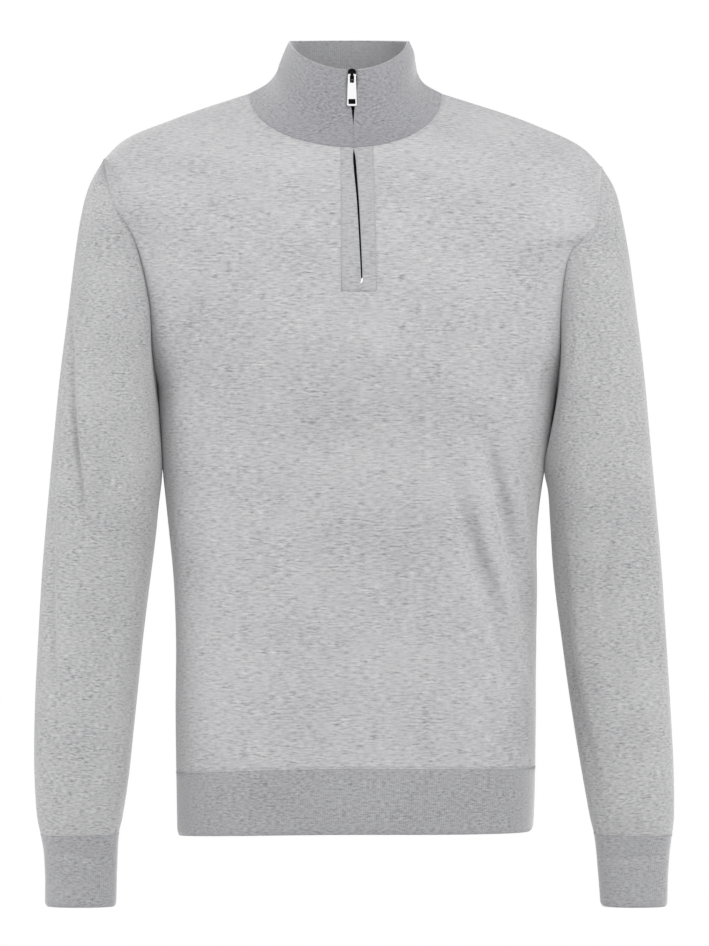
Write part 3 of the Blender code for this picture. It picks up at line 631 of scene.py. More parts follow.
def sweep(path, sideways, profile):
    # A profile carried along a path: centre + profile x * sideways + profile y * (way x sideways),
    # with flat ends. The profile may be one for all, or one for each point of the path.
    way = unit(np.gradient(path, axis=0))
    sideways = np.broadcast_to(sideways, path.shape)
    sideways = unit(sideways - way * (sideways * way).sum(axis=1, keepdims=True))
    profile = np.broadcast_to(profile, (len(path), *np.shape(profile)[-2:]))
    points = (path[:, None] + profile[..., :1] * sideways[:, None]
              + profile[..., 1:] * np.cross(way, sideways)[:, None])
    count, around = profile.shape[:2]
    ends = [list(range(around))[::-1], list(range((count - 1) * around, count * around))]
    return points.reshape(-1, 3), tubeFaces(count, around).tolist() + ends


def loopSweep(path, sideways, profile):
    # The same for a path that closes on itself, with a profile for each of its points: it runs over its
    # start, and the ends are left out.
    around = profile.shape[1]
    points, faces = sweep(*[np.concatenate([part[-1:], part, part[:2]]) for part in (path, sideways, profile)])
    kept = np.array(faces[around:-2 - around]).reshape(-1, 4) - around
    return points[around:-2 * around], (kept % (len(points) - 3 * around)).tolist()


def plate(outline, near, far, bevel):
    # An outline of x and z carried from near to far in depth, both edges rounded by the bevel:
    # inset = bevel * (1 - sin a) and depth = bevel * (1 - cos a) for a from 0 to a right angle.
    outline = np.array(outline, float)
    before, after = unit(outline - np.roll(outline, 1, axis=0)), unit(np.roll(outline, -1, axis=0) - outline)
    turned = unit((before + after)[:, ::-1] * (1, -1))
    rings = [(outline - turned * bevel * (1 - math.sin(angle)), near + bevel * (1 - math.cos(angle)))
             for angle in (0.0, 0.8, math.pi / 2)]
    rings += [(ring, far + near - depth) for ring, depth in rings[::-1]]
    points = np.concatenate([np.insert(ring, 1, depth, axis=1) for ring, depth in rings])
    around = len(outline)
    sides = np.roll(tubeFaces(len(rings), around)[:, ::-1], 1, axis=1)
    last = (len(rings) - 1) * around
    return points, sides.tolist() + [list(range(around)), list(range(last, last + around))[::-1]]


def roundedOutline(corners, count=5):
    # Corners given as centre x and z, radius and first angle, each turned by a quarter circle.
    turns = np.linspace(0, math.pi / 2, count)
    arcs = [(x + radius * np.cos(start + turns), z + radius * np.sin(start + turns))
            for x, z, radius, start in corners]
    return np.concatenate([np.stack(arc, axis=1) for arc in arcs])


def roundedBox(left, right, low, high, corner):
    # A box in x and z with round corners, from the one at its right foot.
    places = ((right - corner, low + corner), (right - corner, high - corner),
              (left + corner, high - corner), (left + corner, low + corner))
    return roundedOutline([(*place, corner, (k - 1) * math.pi / 2) for k, place in enumerate(places)])


def formPiece(name, parts, finish, place=(0, 0, 0), sharp=None):
    # Closed shapes in mm, set at a place in mm, in one mesh.
    points, faces, count = [], [], 0
    for partPoints, partFaces in parts:
        points.append(partPoints)
        faces += [[k + count for k in face] for face in partFaces]
        count += len(partPoints)
    mesh = bpy.data.meshes.new(name)
    mesh.from_pydata(((np.concatenate(points) + np.array(place)) * mm).tolist(), [], faces)
    mesh.validate()
    mesh.shade_smooth()
    if sharp:
        mesh.set_sharp_from_angle(angle=math.radians(sharp))
    mesh.materials.append(finish)
    return placed(name, mesh)


def linear(code):
    # An sRGB hex value as linear light.
    channels = [int(code[k:k + 2], 16) / 255 for k in (0, 2, 4)]
    return [c / 12.92 if c <= 0.04045 else ((c + 0.055) / 1.055) ** 2.4 for c in channels] + [1]


def newMaterial(name, sockets):
    # A material with the values of its shader's sockets.
    finish = bpy.data.materials.new(name)
    finish.use_nodes = True
    shader = finish.node_tree.nodes["Principled BSDF"]
    for socket, value in sockets.items():
        shader.inputs[socket].default_value = value
    return finish, finish.node_tree, shader


def add(tree, kind, settings=None, links=None):
    # One node with its settings (a property or a socket) and the sockets that feed it.
    node = tree.nodes.new(kind)
    for key, value in (settings or {}).items():
        if hasattr(node, key):
            setattr(node, key, value)
        else:
            node.inputs[key].default_value = value
    for key, source in (links or {}).items():
        tree.links.new(source, node.inputs[key])
    return node


def toneRamp(tree, shader, source, tones):
    # sRGB tones along a value, as the shader's colour. The ramp's own two stops take the first two.
    ramp = add(tree, "ShaderNodeValToRGB", {}, {"Fac": source})
    stops = ramp.color_ramp.elements
    for k, (place, code) in enumerate(tones):
        stop = stops[k] if k < 2 else stops.new(place)
        stop.position, stop.color = place, linear(code)
    tree.links.new(ramp.outputs[0], shader.inputs["Base Color"])


# A marled cloth's own unevenness. Length, height in mm, detail and shift of the noise that makes the marl
# stronger in places, that lets its tone drift in wide clouds, and that makes its short fibres.
unevenness = {"stronger": (26.0, 9.0, 1.0, 13.0), "drift": (90.0, 60.0, 1.0, 3.1),
              "fuzz": (1.6, 0.8, 2.0, 31.0)}


def marledKnit(name, tones, dashes, cloud, wale, course, relief, sheen):
    # Fine jersey of a marled yarn: light and dark fibres lie along the courses as short dashes, each
    # as long as its yarn keeps one tone. Matt, with a soft fuzz that catches light at grazing angles.
    finish, tree, shader = newMaterial(name, {"Roughness": 0.92, "Specular IOR Level": 0.25,
                                              "Sheen Weight": sheen, "Sheen Roughness": 0.45})
    at = add(tree, "ShaderNodeUVMap", {"uv_map": "knit"}).outputs[0]

    def stretched(long, tall, detail, shift):
        # Noise whose grains measure long by tall millimetres on the cloth.
        drawn = add(tree, "ShaderNodeMapping", {"Scale": (1 / (long * mm), 1 / (tall * mm), 1),
                                                "Location": (shift, shift * 0.7, 0)}, {"Vector": at})
        noise = add(tree, "ShaderNodeTexNoise", {"noise_dimensions": "2D", "Scale": 1.0, "Detail": detail,
                                                 "Roughness": 0.6}, {"Vector": drawn.outputs[0]})
        return noise.outputs["Fac"]

    def combine(operation, first, second=0):
        # One step of arithmetic on values or sockets.
        node = add(tree, "ShaderNodeMath", {"operation": operation})
        for socket, value in zip(node.inputs, (first, second)):
            if isinstance(value, (int, float)):
                socket.default_value = value
            else:
                tree.links.new(value, socket)
        return node.outputs[0]

    total = None
    for long, tall, detail, shift, weight in dashes:
        centred = combine("SUBTRACT", stretched(long, tall, detail, shift), 0.5)
        scaled = combine("MULTIPLY", centred, weight)
        total = scaled if total is None else combine("ADD", total, scaled)
    # The marl is stronger in some places of the cloth than in others, and its tone drifts in wide clouds.
    strength = combine("ADD", combine("MULTIPLY", stretched(*unevenness["stronger"]), 1.6), 0.2)
    drift = combine("MULTIPLY", combine("SUBTRACT", stretched(*unevenness["drift"]), 0.5), cloud)
    tone = combine("ADD", combine("ADD", combine("MULTIPLY", total, strength), drift), 0.5)
    toneRamp(tree, shader, tone, tones)
    # Stitches: a column of loops every wale, a row every course, and short fibres over them.
    split = add(tree, "ShaderNodeSeparateXYZ", {}, {0: at})
    columns = combine("SINE", combine("MULTIPLY", split.outputs[0], 2 * math.pi / (wale * mm)))
    courses = combine("SINE", combine("MULTIPLY", split.outputs[1], 2 * math.pi / (course * mm)))
    stitches = combine("ADD", combine("MULTIPLY", columns, 0.5), combine("MULTIPLY", courses, 0.35))
    fuzz = combine("MULTIPLY", stretched(*unevenness["fuzz"]), 1.4)
    bump = add(tree, "ShaderNodeBump", {"Strength": relief, "Distance": 0.00025},
               {"Height": combine("ADD", stitches, fuzz)})
    tree.links.new(bump.outputs[0], shader.inputs["Normal"])
    return finish


# Merino jersey in a pale grey marl. Dashes: length, height in mm, detail, shift, weight.
knitLook = {
    "tones": ((0.0, "636366"), (1.0, "dadadb"), (0.3, "99999b"), (0.5, "b6b5b7"), (0.72, "c6c6c7")),
    "dashes": ((6.5, 1.5, 3.0, 0.0, 0.74), (15.0, 1.7, 2.0, 7.3, 0.40)), "cloud": 0.16,
    "wale": 1.6, "course": 1.3, "relief": 0.42, "sheen": 0.7,
}
# On the sleeves the yarn changes tone at shorter lengths.
sleeveLook = dict(knitLook, dashes=((4.8, 1.5, 3.0, 0.0, 0.86), (11.0, 1.7, 2.0, 7.3, 0.36)),
                  tones=((0.0, "606063"), (1.0, "d6d6d7"), (0.3, "959597"), (0.5, "b1b1b2"), (0.72, "c1c1c2")))
# The placket is two layers of the jersey, so it looks calmer and a little darker.
placketLook = dict(knitLook, tones=((0.0, "636366"), (1.0, "cdcdce"), (0.3, "929295"), (0.5, "adadaf"),
                                    (0.72, "bbbbbd")), dashes=((6.0, 1.5, 3.0, 4.0, 0.80),), cloud=0.1)
# The rib is knitted tighter from the same yarn, so its dashes are shorter and its tone is darker.
ribLook = {
    "tones": ((0.0, "545459"), (1.0, "c3c3c5"), (0.3, "86868a"), (0.5, "9f9fa2"), (0.72, "afafb2")),
    "dashes": ((4.2, 1.5, 3.0, 2.0, 0.80), (10.0, 1.6, 2.0, 5.3, 0.26)), "cloud": 0.12,
    "wale": 2.0, "course": 1.2, "relief": 0.5, "sheen": 1.0,
}
collarLook = dict(ribLook, dashes=((3.0, 1.7, 3.0, 2.0, 0.80), (7.0, 1.8, 2.0, 5.3, 0.26)),
                  tones=((0.0, "4e4e53"), (1.0, "bababd"), (0.3, "7c7c81"), (0.5, "949498"), (0.72, "a4a4a8")))
# The collar's inner layer: the collar rib's tones painted lighter, as painted light where little light reaches
# inside the collar, with a calmer marl.
insidePaintedLightLook = dict(collarLook, dashes=((4.0, 1.7, 2.0, 6.0, 0.5),), tones=(
    (0.0, "66666a"), (1.0, "cececf"), (0.3, "929295"), (0.5, "acacaf"), (0.72, "bababd")))
knit = marledKnit("merino jersey", **knitLook)
sleeveKnit = marledKnit("merino jersey of the sleeves", **sleeveLook)
placketKnit = marledKnit("merino jersey, two layers", **placketLook)
rib = marledKnit("merino rib", **ribLook)
collarRib = marledKnit("merino rib, two layers", **collarLook)
# Painted light: a lighter copy of the collar's rib, for the inside of the collar.
collarInsidePaintedLight = marledKnit("merino rib, inner layer, painted lighter", **insidePaintedLightLook)


def linkingYarn(name):
    # The seams are linked with the same merino, so they have its tone with little marl.
    finish, tree, shader = newMaterial(name, {"Roughness": 0.9, "Specular IOR Level": 0.25})
    at = add(tree, "ShaderNodeTexCoord").outputs["Object"]
    noise = add(tree, "ShaderNodeTexNoise", {"Scale": 1 / (4 * mm), "Detail": 2.0}, {"Vector": at})
    toneRamp(tree, shader, noise.outputs["Fac"], ((0.3, "a6a6a9"), (0.7, "c6c6c8")))
    return finish


seamYarn = linkingYarn("linking yarn")
print("knits made")


def metal(name, colour, roughness, metallic, brushed, grain, gloss=0.5):
    # A metal's gloss varies a little with polishing marks, grain mm apart.
    finish, tree, shader = newMaterial(name, {"Base Color": linear(colour), "Metallic": metallic,
                                              "Specular IOR Level": gloss})
    at = add(tree, "ShaderNodeTexCoord").outputs["Object"]
    scale = 1 / (grain * mm)
    streaks = add(tree, "ShaderNodeMapping", {"Scale": (scale, scale, 0.12 * scale)}, {"Vector": at})
    noise = add(tree, "ShaderNodeTexNoise", {"Scale": 1.0, "Detail": 3.0}, {"Vector": streaks.outputs[0]})
    spread = add(tree, "ShaderNodeMapRange", {"To Min": roughness - brushed, "To Max": roughness + brushed},
                 {"Value": noise.outputs["Fac"]})
    tree.links.new(spread.outputs[0], shader.inputs["Roughness"])
    return finish


# Steel is bright with faint polishing marks, enamel a dark gloss over a casting, the oxidised teeth matt.
steel = metal("polished steel", "f2f2f3", 0.14, 1.0, 0.04, 0.6)
blackZinc = metal("black enamelled zinc", "040405", 0.2, 0.0, 0.04, 0.5, 0.07)
blackTeeth = metal("blackened brass", "060607", 0.5, 0.0, 0.06, 0.5, 0.08)


def wovenTape(name):
    # Woven polyester tape: 0.45 mm ribs along its length, a matt black.
    finish, tree, shader = newMaterial(name, {"Roughness": 0.85, "Specular IOR Level": 0.15})
    at = add(tree, "ShaderNodeUVMap", {"uv_map": "knit"}).outputs[0]
    bands = add(tree, "ShaderNodeTexWave", {"Scale": 0.314 / (0.45 * mm), "Distortion": 0.4}, {"Vector": at})
    bump = add(tree, "ShaderNodeBump", {"Strength": 0.5, "Distance": 0.0001}, {"Height": bands.outputs["Fac"]})
    toneRamp(tree, shader, bands.outputs["Fac"], ((0.0, "070708"), (1.0, "121214")))
    tree.links.new(bump.outputs[0], shader.inputs["Normal"])
    return finish


tapeFinish = wovenTape("woven polyester tape")

# Finer creases of the visible cloth: points x, z in mm, half width, depth (a ridge is negative),
# lip (its share of the depth, and its sign says on which side it stands).
creases = {
    "front": (
        (((86, -336), (95, -370), (105, -403), (114, -432), (122, -460), (131, -492), (140, -526),
         (148, -556), (153, -588)), 6, 5.8, -0.3),
        (((101, -322), (112, -366), (122, -404), (132, -442), (142, -480), (150, -520), (155, -552)), 6,
         -3.8, 0),
        (((113, -286), (125, -334), (136, -378), (146, -418), (153, -452), (158, -490)), 5.4, 6.4, -0.3),
        (((130, -282), (141, -328), (149, -366), (156, -406)), 4, -2.6, 0),
        (((144, -292), (150, -330), (156, -370)), 3.8, 1.6, -0.4),
        (((117, -529), (123, -552), (131, -579)), 4, 1.2, 0.4),
        (((104, -453), (118, -498), (122, -533)), 6, 1.1, 0.3),
        (((135, -533), (129, -573), (133, -597)), 4.5, 1, -0.4),
        (((-119, -308), (-123, -347), (-120, -395)), 6, 1, 0.3),
        (((-136, -186), (-139, -232)), 6, 2.6, 0.3),
        (((-147, -575), (-138, -589), (-127, -602)), 4, 0.9, 0.4),
        (((-143, -216), (-90, -225), (-19, -232), (60, -254), (91, -270), (153, -257)), 34, -3.6, 0),
        (((-60, -330), (-48, -400), (-66, -470)), 18, 0.9, 0.3),
        (((30, -440), (48, -500), (40, -570)), 16, 0.8, -0.3),
    ),
    "back": (
        (((-152, -328), (-120, -390), (-66, -432)), 5.5, 1.9, 0.5),
        (((152, -342), (114, -400), (56, -440)), 5.5, 1.9, -0.5),
        (((-150, -430), (-112, -470), (-56, -486)), 5, 1.4, 0.4),
        (((148, -450), (108, -484), (64, -498)), 5, 1.3, -0.4),
        (((-84, -96), (-30, -112), (30, -110), (86, -94)), 9, 1, 0.3),
        (((-40, -300), (-20, -380), (-34, -450)), 16, 1, 0.3),
        (((60, -520), (82, -560), (78, -592)), 7, 1, 0.4),
        (((-110, -530), (-96, -570), (-104, -598)), 6, 1.1, -0.4),
    ),
    "sleeveFront": (
        (((-251, -172), (-250, -220), (-249, -266), (-246, -307), (-242, -343), (-238, -390), (-236, -420)),
         2.8, 3.6, -0.6),
        (((-265, -349), (-267, -419), (-267, -469), (-265, -514), (-263, -555), (-261, -581)), 3.2, 2.6,
         -0.45),
        (((-272, -601), (-270, -623), (-269, -659)), 2.6, 1.6, -0.4),
        (((-208, -303), (-214, -338), (-221, -365)), 5, 1, 0.3),
        (((-214, -454), (-219, -525), (-224, -588)), 6, 1.1, 0.3),
        (((182, -365), (188, -436), (194, -499), (201, -542), (210, -582), (216, -616), (221, -656)), 4,
         3.4, -0.3),
        (((232, -379), (225, -427), (222, -481)), 3.6, 2.4, 0.4),
        (((196, -210), (193, -246)), 2.6, 1.2, -0.5),
        (((257, -419), (262, -490), (265, -558)), 6, 1, 0.3),
        (((239, -597), (245, -632), (248, -656)), 4, 1, 0.4),
    ),
    "sleeveBack": (
        (((-264, -326), (-236, -370), (-203, -392)), 4.5, 1.8, 0.5),
        (((264, -330), (236, -374), (206, -396)), 4.5, 1.8, -0.5),
        (((-270, -462), (-244, -492), (-214, -506)), 4.5, 1.4, 0.4),
        (((270, -470), (246, -500), (220, -512)), 4.5, 1.3, -0.4),
        (((-240, -560), (-236, -600), (-243, -644)), 5, 1.1, 0.4),
        (((244, -556), (240, -604), (246, -646)), 5, 1.1, -0.4),
    ),
    "cuff": (
        (((-284, -680), (-247, -681), (-229, -685), (-200, -687)), 4.2, 1.2, 0.3),
        (((208, -684), (248, -684), (290, -681)), 4.2, 1.2, 0.3),
    ),
}
# Hem and cuffs draw in towards their free edge: height over which they do, and by how much, mm.
# From leftFrom over leftOver mm to the left, the hem changes to its left values.
drawnIn = {"hem": (7.0, 2.4), "hemLeft": (9.0, 5.0), "leftFrom": 90, "leftOver": 50, "cuff": (5.0, 3.2)}
# The groove of the armhole's seam, in mm, and the stations between which it grows and fades.
tucked = {"deep": 2.6, "wide": 5.5, "starts": (0.0, 0.5), "ends": (2.3, 3.6)}


def drawIn(z, foot, height, amount):
    # amount * (1 - sqrt(1 - 0.98 t squared)), where t grows from 0 to 1 over the last of the height.
    t = np.clip((foot + height - z) / height, 0, 1)
    return amount * (1 - np.sqrt(1 - 0.98 * t ** 2))


def tuckIn(points, seam, station):
    # Down the front of the armhole both pieces turn in to their seam: deep * (1 - distance / wide) squared.
    weight = smoothStep(station, *tucked["starts"]) * (1 - smoothStep(station, *tucked["ends"]))
    share = np.clip(1 - np.linalg.norm(points - seam, axis=-1) / tucked["wide"], 0, 1)
    points[..., 1] += tucked["deep"] * weight * share ** 2


def bodyPanel(face, points, **facts):
    # The front's or the back's panel, with its creases.
    relief = creaseDepth(creases[face], points[..., 0], points[..., 2]) * awayFromSeams(bodyRows)
    return clothPanel("knit_" + face, points, walls["knit"], relief=relief, **facts)


def faceAhead(panel, columns):
    # Beside the zip the normals lose their sideways part.
    panel["normals"][:, columns, 0] = 0
    panel["normals"] = unit(panel["normals"])


# Rows close up towards the free edges of hem and cuffs, where the cloth turns in.
bodyRows, collarRows = steps(hemSeam, neckSeam), steps(neckSeam, collarTop)
nearFoot = np.array([0, 0.02, 0.05, 0.09, 0.14, 0.2, 0.28])
hemRows = np.concatenate([hemFoot + nearFoot, steps(hemFoot + 0.375, hemSeam)])
cuffRings = np.concatenate([steps(cuffSeam, cuffFoot - 0.5), cuffFoot - 1.4 * nearFoot[::-1]])
walls = {"knit": 1.6, "rib": 2.2, "collar": 2.6}
frontPoints, backPoints = frontGrid(bodyRows), backGrid(bodyRows)
for edge in (0, -1):
    tuckIn(frontPoints, frontPoints[:, [edge]], np.maximum(bodyRows - underarm, 0)[:, None] / 2)
# The hole under the placket: its first row, first column and last column.
hole = (placketFoot * fine, frontColumns * fine, frontColumns * fine + 2 * bandSteps)
placketPlace = np.s_[hole[0]:, hole[1]:hole[2] + 1]
panels = {
    "front": bodyPanel("front", frontPoints, hole=hole, free=((placketPlace, "flush"),)),
    "back": bodyPanel("back", backPoints, flip=True),
    "collar": clothPanel("rib_collar", collarGrid(collarRows), walls["collar"], flip=True,
                         free=((np.s_[-1], "free"), (np.s_[:, 0], "zip"), (np.s_[:, -1], "zip"))),
}
band = {"wall": walls["rib"], "closed": True, "free": ((np.s_[0], "free"),)}
hemPoints = hemGrid(hemRows)
onLeft = np.clip((hemPoints[..., 0] - drawnIn["leftFrom"]) / drawnIn["leftOver"], 0, 1)
atFoot, atLeftFoot = [drawIn(hemPoints[..., 2], hemPoints[:1, :, 2], *drawnIn[end])
                      for end in ("hem", "hemLeft")]
panels["hem_rib"] = clothPanel("rib_hem", hemPoints, relief=atFoot * (1 - onLeft) + atLeftFoot * onLeft, **band)
# How far each column of an arm faces the front or the back.
toFront, toBack = [np.clip(way * 3 * np.sin(armTurn), 0, 1)[None] for way in (1, -1)]
for side in ("right", "left"):
    sleeve = armGrid(side, steps(0, cuffSeam))[::-1]
    tuckIn(sleeve, sleeve[[-1]], np.maximum(np.linspace(5, -5, len(armTurn), endpoint=False), 0)[None])
    x, z = sleeve[..., 0], sleeve[..., 2]
    relief = creaseDepth(creases["sleeveFront"], x, z) * toFront
    relief += creaseDepth(creases["sleeveBack"], x, z) * toBack
    relief *= awayFrom(steps(0, cuffSeam), 0, cuffSeam, 3)[::-1, None]
    panels["sleeve_" + side] = clothPanel("knit_sleeve_" + side, sleeve, walls["knit"], closed=True,
                                          flip=side == "left", relief=relief)
    cuff = armGrid(side, cuffRings)[::-1]
    relief = creaseDepth(creases["cuff"], cuff[..., 0], cuff[..., 2]) * toFront
    relief += drawIn(cuff[..., 2], cuff[:1, :, 2], *drawnIn["cuff"])
    panels["cuff_" + side] = clothPanel("rib_cuff_" + side, cuff, flip=side == "left", relief=relief, **band)
# The collar's zip edges stay where they are, and face straight ahead.
collar = panels["collar"]
zipEdges = collar["points"][1:, [0, -1]]
openSeams(list(panels.values()))
collar["points"][1:, [0, -1]] = zipEdges
faceAhead(collar, [0, -1])
placketRows = np.concatenate([[placketFoot + 0.002], steps(placketFoot + 0.125, neckSeam - 0.125),
                              [neckSeam - 0.004]])
for side in ("right", "left"):
    placket = clothPanel("placket_knit_" + side, placketGrid(side, placketRows), walls["knit"],
                         flip=side == "left", free=((np.s_[:], "flush"), (np.s_[:, -1], "zip")))
    faceAhead(placket, -1)
    panels["placket_" + side] = placket
print("surfaces worked out")

# The wales run up the body and along the arms. Round the collar they follow its own rows.
upright, alongArm = (0, 0, 1), {"right": (0.06, 0, 0.998), "left": (-0.06, 0, 0.998)}
finishes = {"collar": collarRib, "sleeve": sleeveKnit, "placket": placketKnit, "hem": rib, "cuff": rib}
pieces = {}
for node, panel in panels.items():
    kind, side = (node + "_").split("_")[:2]
    up = alongArm[side] if kind in ("sleeve", "cuff") else None if kind == "collar" else upright
    # The collar's inner wall takes the lighter copy of its rib, which is painted light inside the collar.
    piece = clothPiece(panel, finishes.get(kind, knit), up, 0.37 * len(pieces),
                       collarInsidePaintedLight if kind == "collar" else None)
    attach(piece, "garment")
    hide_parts(node)
    pieces[node] = piece
    print(node, "made,", len(piece.data.polygons), "faces")


def wallThere(rows):
    # The wall in front of the zip: the jersey's, and from below the neck seam the collar's.
    return np.interp(rows, (neckSeam - 3, neckSeam - 1), (walls["knit"], walls["collar"]))


def zipStrip(name, offsets, rows, thickness, finish, columns):
    # Columns beside the zip line, set in behind the wall: points - normals * (wall + 0.5).
    behind = wallThere(rows) + 0.5
    sides = [("right" if offset < 0 else "left", abs(offset)) for offset in np.linspace(*offsets, columns)]
    lines = [zipEdge(side, rows, np.full(len(rows), offset)) for side, offset in sides]
    panel = clothPanel(name, np.stack(lines, axis=1), thickness)
    panel["points"] = panel["points"] - panel["normals"] * behind[:, None, None]
    return clothPiece(panel, finish)


for side, offsets in (("right", (-12.5, -1.0)), ("left", (1.0, 12.5))):
    tape = zipStrip("woven_tape_" + side, offsets, steps(17.3, 32.6), 0.7, tapeFinish, 5)
    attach(tape, "garment")
    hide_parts("zip_tape_" + side)

# Linking seams: a row of stitches in the groove between two pieces.
seamStitch = {"pitch": 2.2, "steps": 4, "sides": 6, "swell": 0.22}


def ring(sides, radius):
    # A round profile of so many sides.
    turn = np.arange(sides) * 2 * math.pi / sides
    return np.stack([np.cos(turn), np.sin(turn)], axis=1) * radius


def evenly(path, step, closed):
    # The same path in steps of one length, and how far along it each of its points lies.
    if closed:
        path = np.concatenate([path, path[:1]])
    along = np.concatenate([[0], np.cumsum(np.linalg.norm(np.diff(path, axis=0), axis=1))])
    count = max(3, round(along[-1] / step))
    at = np.linspace(0, along[-1], count + 1)[:count if closed else None]
    return np.stack([np.interp(at, along, column) for column in path.T], axis=1), at


def linkingSeam(name, panel, at, radius, sunk, closed):
    # A tube along the seam. Its radius swells once a stitch: r = radius * (1 - swell * (1 - |sin|)).
    path = np.concatenate([panel["points"][at], panel["normals"][at]], axis=1)
    both, along = evenly(path, seamStitch["pitch"] / seamStitch["steps"], closed)
    centre, outward = both[:, :3], unit(both[:, 3:])
    swell = 1 - seamStitch["swell"] * (1 - np.abs(np.sin(math.pi * along / seamStitch["pitch"])))
    if not closed:
        swell[[0, -1]] *= 0.4
    shape = (loopSweep if closed else sweep)(centre - outward * sunk, outward,
                                             ring(seamStitch["sides"], radius) * swell[:, None, None])
    seam = formPiece(name, [shape], seamYarn)
    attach(seam, "garment")
    return len(seam.data.polygons)


# Name, piece, which of its points, the yarn's radius and how far it is sunk, mm, and whether it closes.
seams = []
for side, column in (("right", 0), ("left", -1)):
    sleeve, front = panels["sleeve_" + side], panels["front"]
    seams += [("link_armhole_" + side, sleeve, np.s_[-1], 0.42, 0.2, True),
              ("link_cuff_" + side, sleeve, np.s_[0], 0.5, 0.1, True),
              ("link_underarm_" + side, sleeve, np.s_[2:-2, len(armTurn) // 2], 0.35, 0.22, False),
              ("link_side_" + side, front, np.s_[1:underarm * fine - 1, column], 0.4, 0.2, False),
              ("link_shoulder_" + side, front, np.s_[shoulderTip * fine + 2:-2, column], 0.4, 0.2, False)]
seams += [("link_hem", panels["hem_rib"], np.s_[-1], 0.5, 0.1, True),
          ("link_neck", collar, np.s_[0, 1:-1], 0.38, 0.25, False)]
print("seams linked,", sum(linkingSeam(*seam) for seam in seams), "faces")

# The zip's metal, in mm. Places of slider and pull are measured from the pull's bar.
bar = (0.0, -74.81, 12.9)
teeth = {"pitch": 1.3, "rows": (17.66, 32.3), "behind": 0.85, "rise": 2.9, "riseRows": (30.8, 32.1)}
# Sections of one tooth, from its head to its root: place across, half height, half depth.
tooth = ((0.58, 0.16, 0.42), (0.28, 0.37, 0.68), (-0.15, 0.26, 0.62), (-0.7, 0.40, 0.75), (-2.0, 0.40, 0.72))
slider = {"half": 3.7, "waist": 2.7, "foot": -3.9, "shoulder": 2.2, "top": 5.6, "face": 1.3, "back": 5.7,
          "plate": 1.25, "bevel": 0.35, "wedge": (-0.9, 0.9, 1.2, 4.9, 0.6), "lip": 0.55,
          "rail": (2.75, 3.58, -1.5, 3.2, 0.25), "bridgeHalf": 1.35, "bridgeMiddle": 1.9, "bridgeThick": 1.15}
pull = {"top": 0.6, "foot": -27.8, "topHalf": 3.55, "footHalf": 4.3, "topRound": 0.9, "footRound": 1.5,
        "deep": 1.4, "bevel": 0.22, "slot": (-1.9, 1.9, -7.2, -0.5, 0.7),
        "window": (-3.15, 3.15, -26.1, -21.6, 0.5), "inset": (-3.3, 3.3, -26.25, -21.45, 0.4), "insetDeep": 0.7}
stop = {"row": 17.62, "behind": 0.2, "radius": 0.85, "length": 4.8}


def zipTeeth():
    # Both rows of teeth: one tooth's corners, times the zip's own ways across, up and outward, at every pitch.
    # The rows stand half a pitch apart, so that the heads mesh.
    rows = np.linspace(*teeth["rows"], 400)
    middle, leftOf, rightOf = [zipEdge(side, rows, np.full(len(rows), offset))
                               for side, offset in (("right", 0.0), ("left", 0.5), ("right", 0.5))]
    across, up = unit(leftOf - rightOf), unit(np.gradient(middle, axis=0))
    outward = unit(np.cross(across, up))
    behind = wallThere(rows) + teeth["behind"] - teeth["rise"] * smoothStep(rows, *teeth["riseRows"])
    line = middle - outward * behind[:, None]
    both = evenly(np.concatenate([line, across, up, outward], axis=1), teeth["pitch"] / 2, False)[0]
    corners = np.array([[(place, -tall, -deep), (place, tall, -deep), (place, tall, deep), (place, -tall, deep)]
                        for place, tall, deep in tooth]).reshape(-1, 3)
    sides = np.roll(tubeFaces(len(tooth), 4)[:, ::-1], 1, axis=1)
    last = len(corners) - 4
    quads = np.concatenate([sides, [(0, 1, 2, 3), (last + 3, last + 2, last + 1, last)]])
    parts = []
    for start, mirror in ((0, 1), (1, -1)):
        held = both[start::2]
        ways = np.stack([held[:, 3:6] * mirror, held[:, 6:9], held[:, 9:12]], axis=1)
        points = held[:, None, :3] + corners[None] @ ways
        faces = quads[None, :, ::mirror] + len(corners) * np.arange(len(held))[:, None, None]
        parts.append((points.reshape(-1, 3), faces.reshape(-1, 4).tolist()))
    return formPiece("zip_teeth", parts, blackTeeth)


def sliderBody():
    # Two plates with a round head (z = shoulder + rise * sin ^ 0.75), a wedge and rails between them, and the
    # bridge over the pull's bar: a rounded strip carried along half a circle.
    s = slider
    crown, rise = np.linspace(0, math.pi, 17), s["top"] - s["shoulder"]
    head = np.stack([s["half"] * np.cos(crown), s["shoulder"] + rise * np.sin(crown) ** 0.75], axis=1)
    flank = np.array([(s["waist"], s["foot"]), (s["half"] - 0.15, -1.6)])
    outline = np.concatenate([flank, head, flank[::-1] * (-1, 1)])
    inner, outer = s["face"] + s["plate"], s["back"] - s["plate"]
    parts = [plate(outline, s["face"], inner, s["bevel"]), plate(outline, outer, s["back"], s["bevel"]),
             plate(roundedBox(*s["wedge"]), inner - 0.2, outer + 0.2, 0.1)]
    left, right, *rest = s["rail"]
    for rail in ((left, right, *rest), (-right, -left, *rest)):
        for near, far in ((inner - 0.2, inner + s["lip"]), (outer - s["lip"], outer + 0.2)):
            parts.append(plate(roundedBox(*rail), near, far, 0.1))
    bend = np.linspace(-math.pi / 2, math.pi / 2, 17)
    radius, root = s["bridgeMiddle"], s["face"] + 0.3
    arch = np.stack([np.zeros(17), -radius * np.cos(bend), radius * np.sin(bend)], axis=1)
    path = np.concatenate([[(0, root, -radius), (0, 0.7, -radius)], arch,
                           [(0, 0.7, radius), (0, root, radius)]])
    wide, thick = s["bridgeHalf"], s["bridgeThick"] / 2
    parts.append(sweep(path, np.array([1.0, 0, 0]), roundedBox(-wide, wide, -thick, thick, 0.4)))
    return formPiece("zip_slider_body", parts, blackZinc, bar, 38)


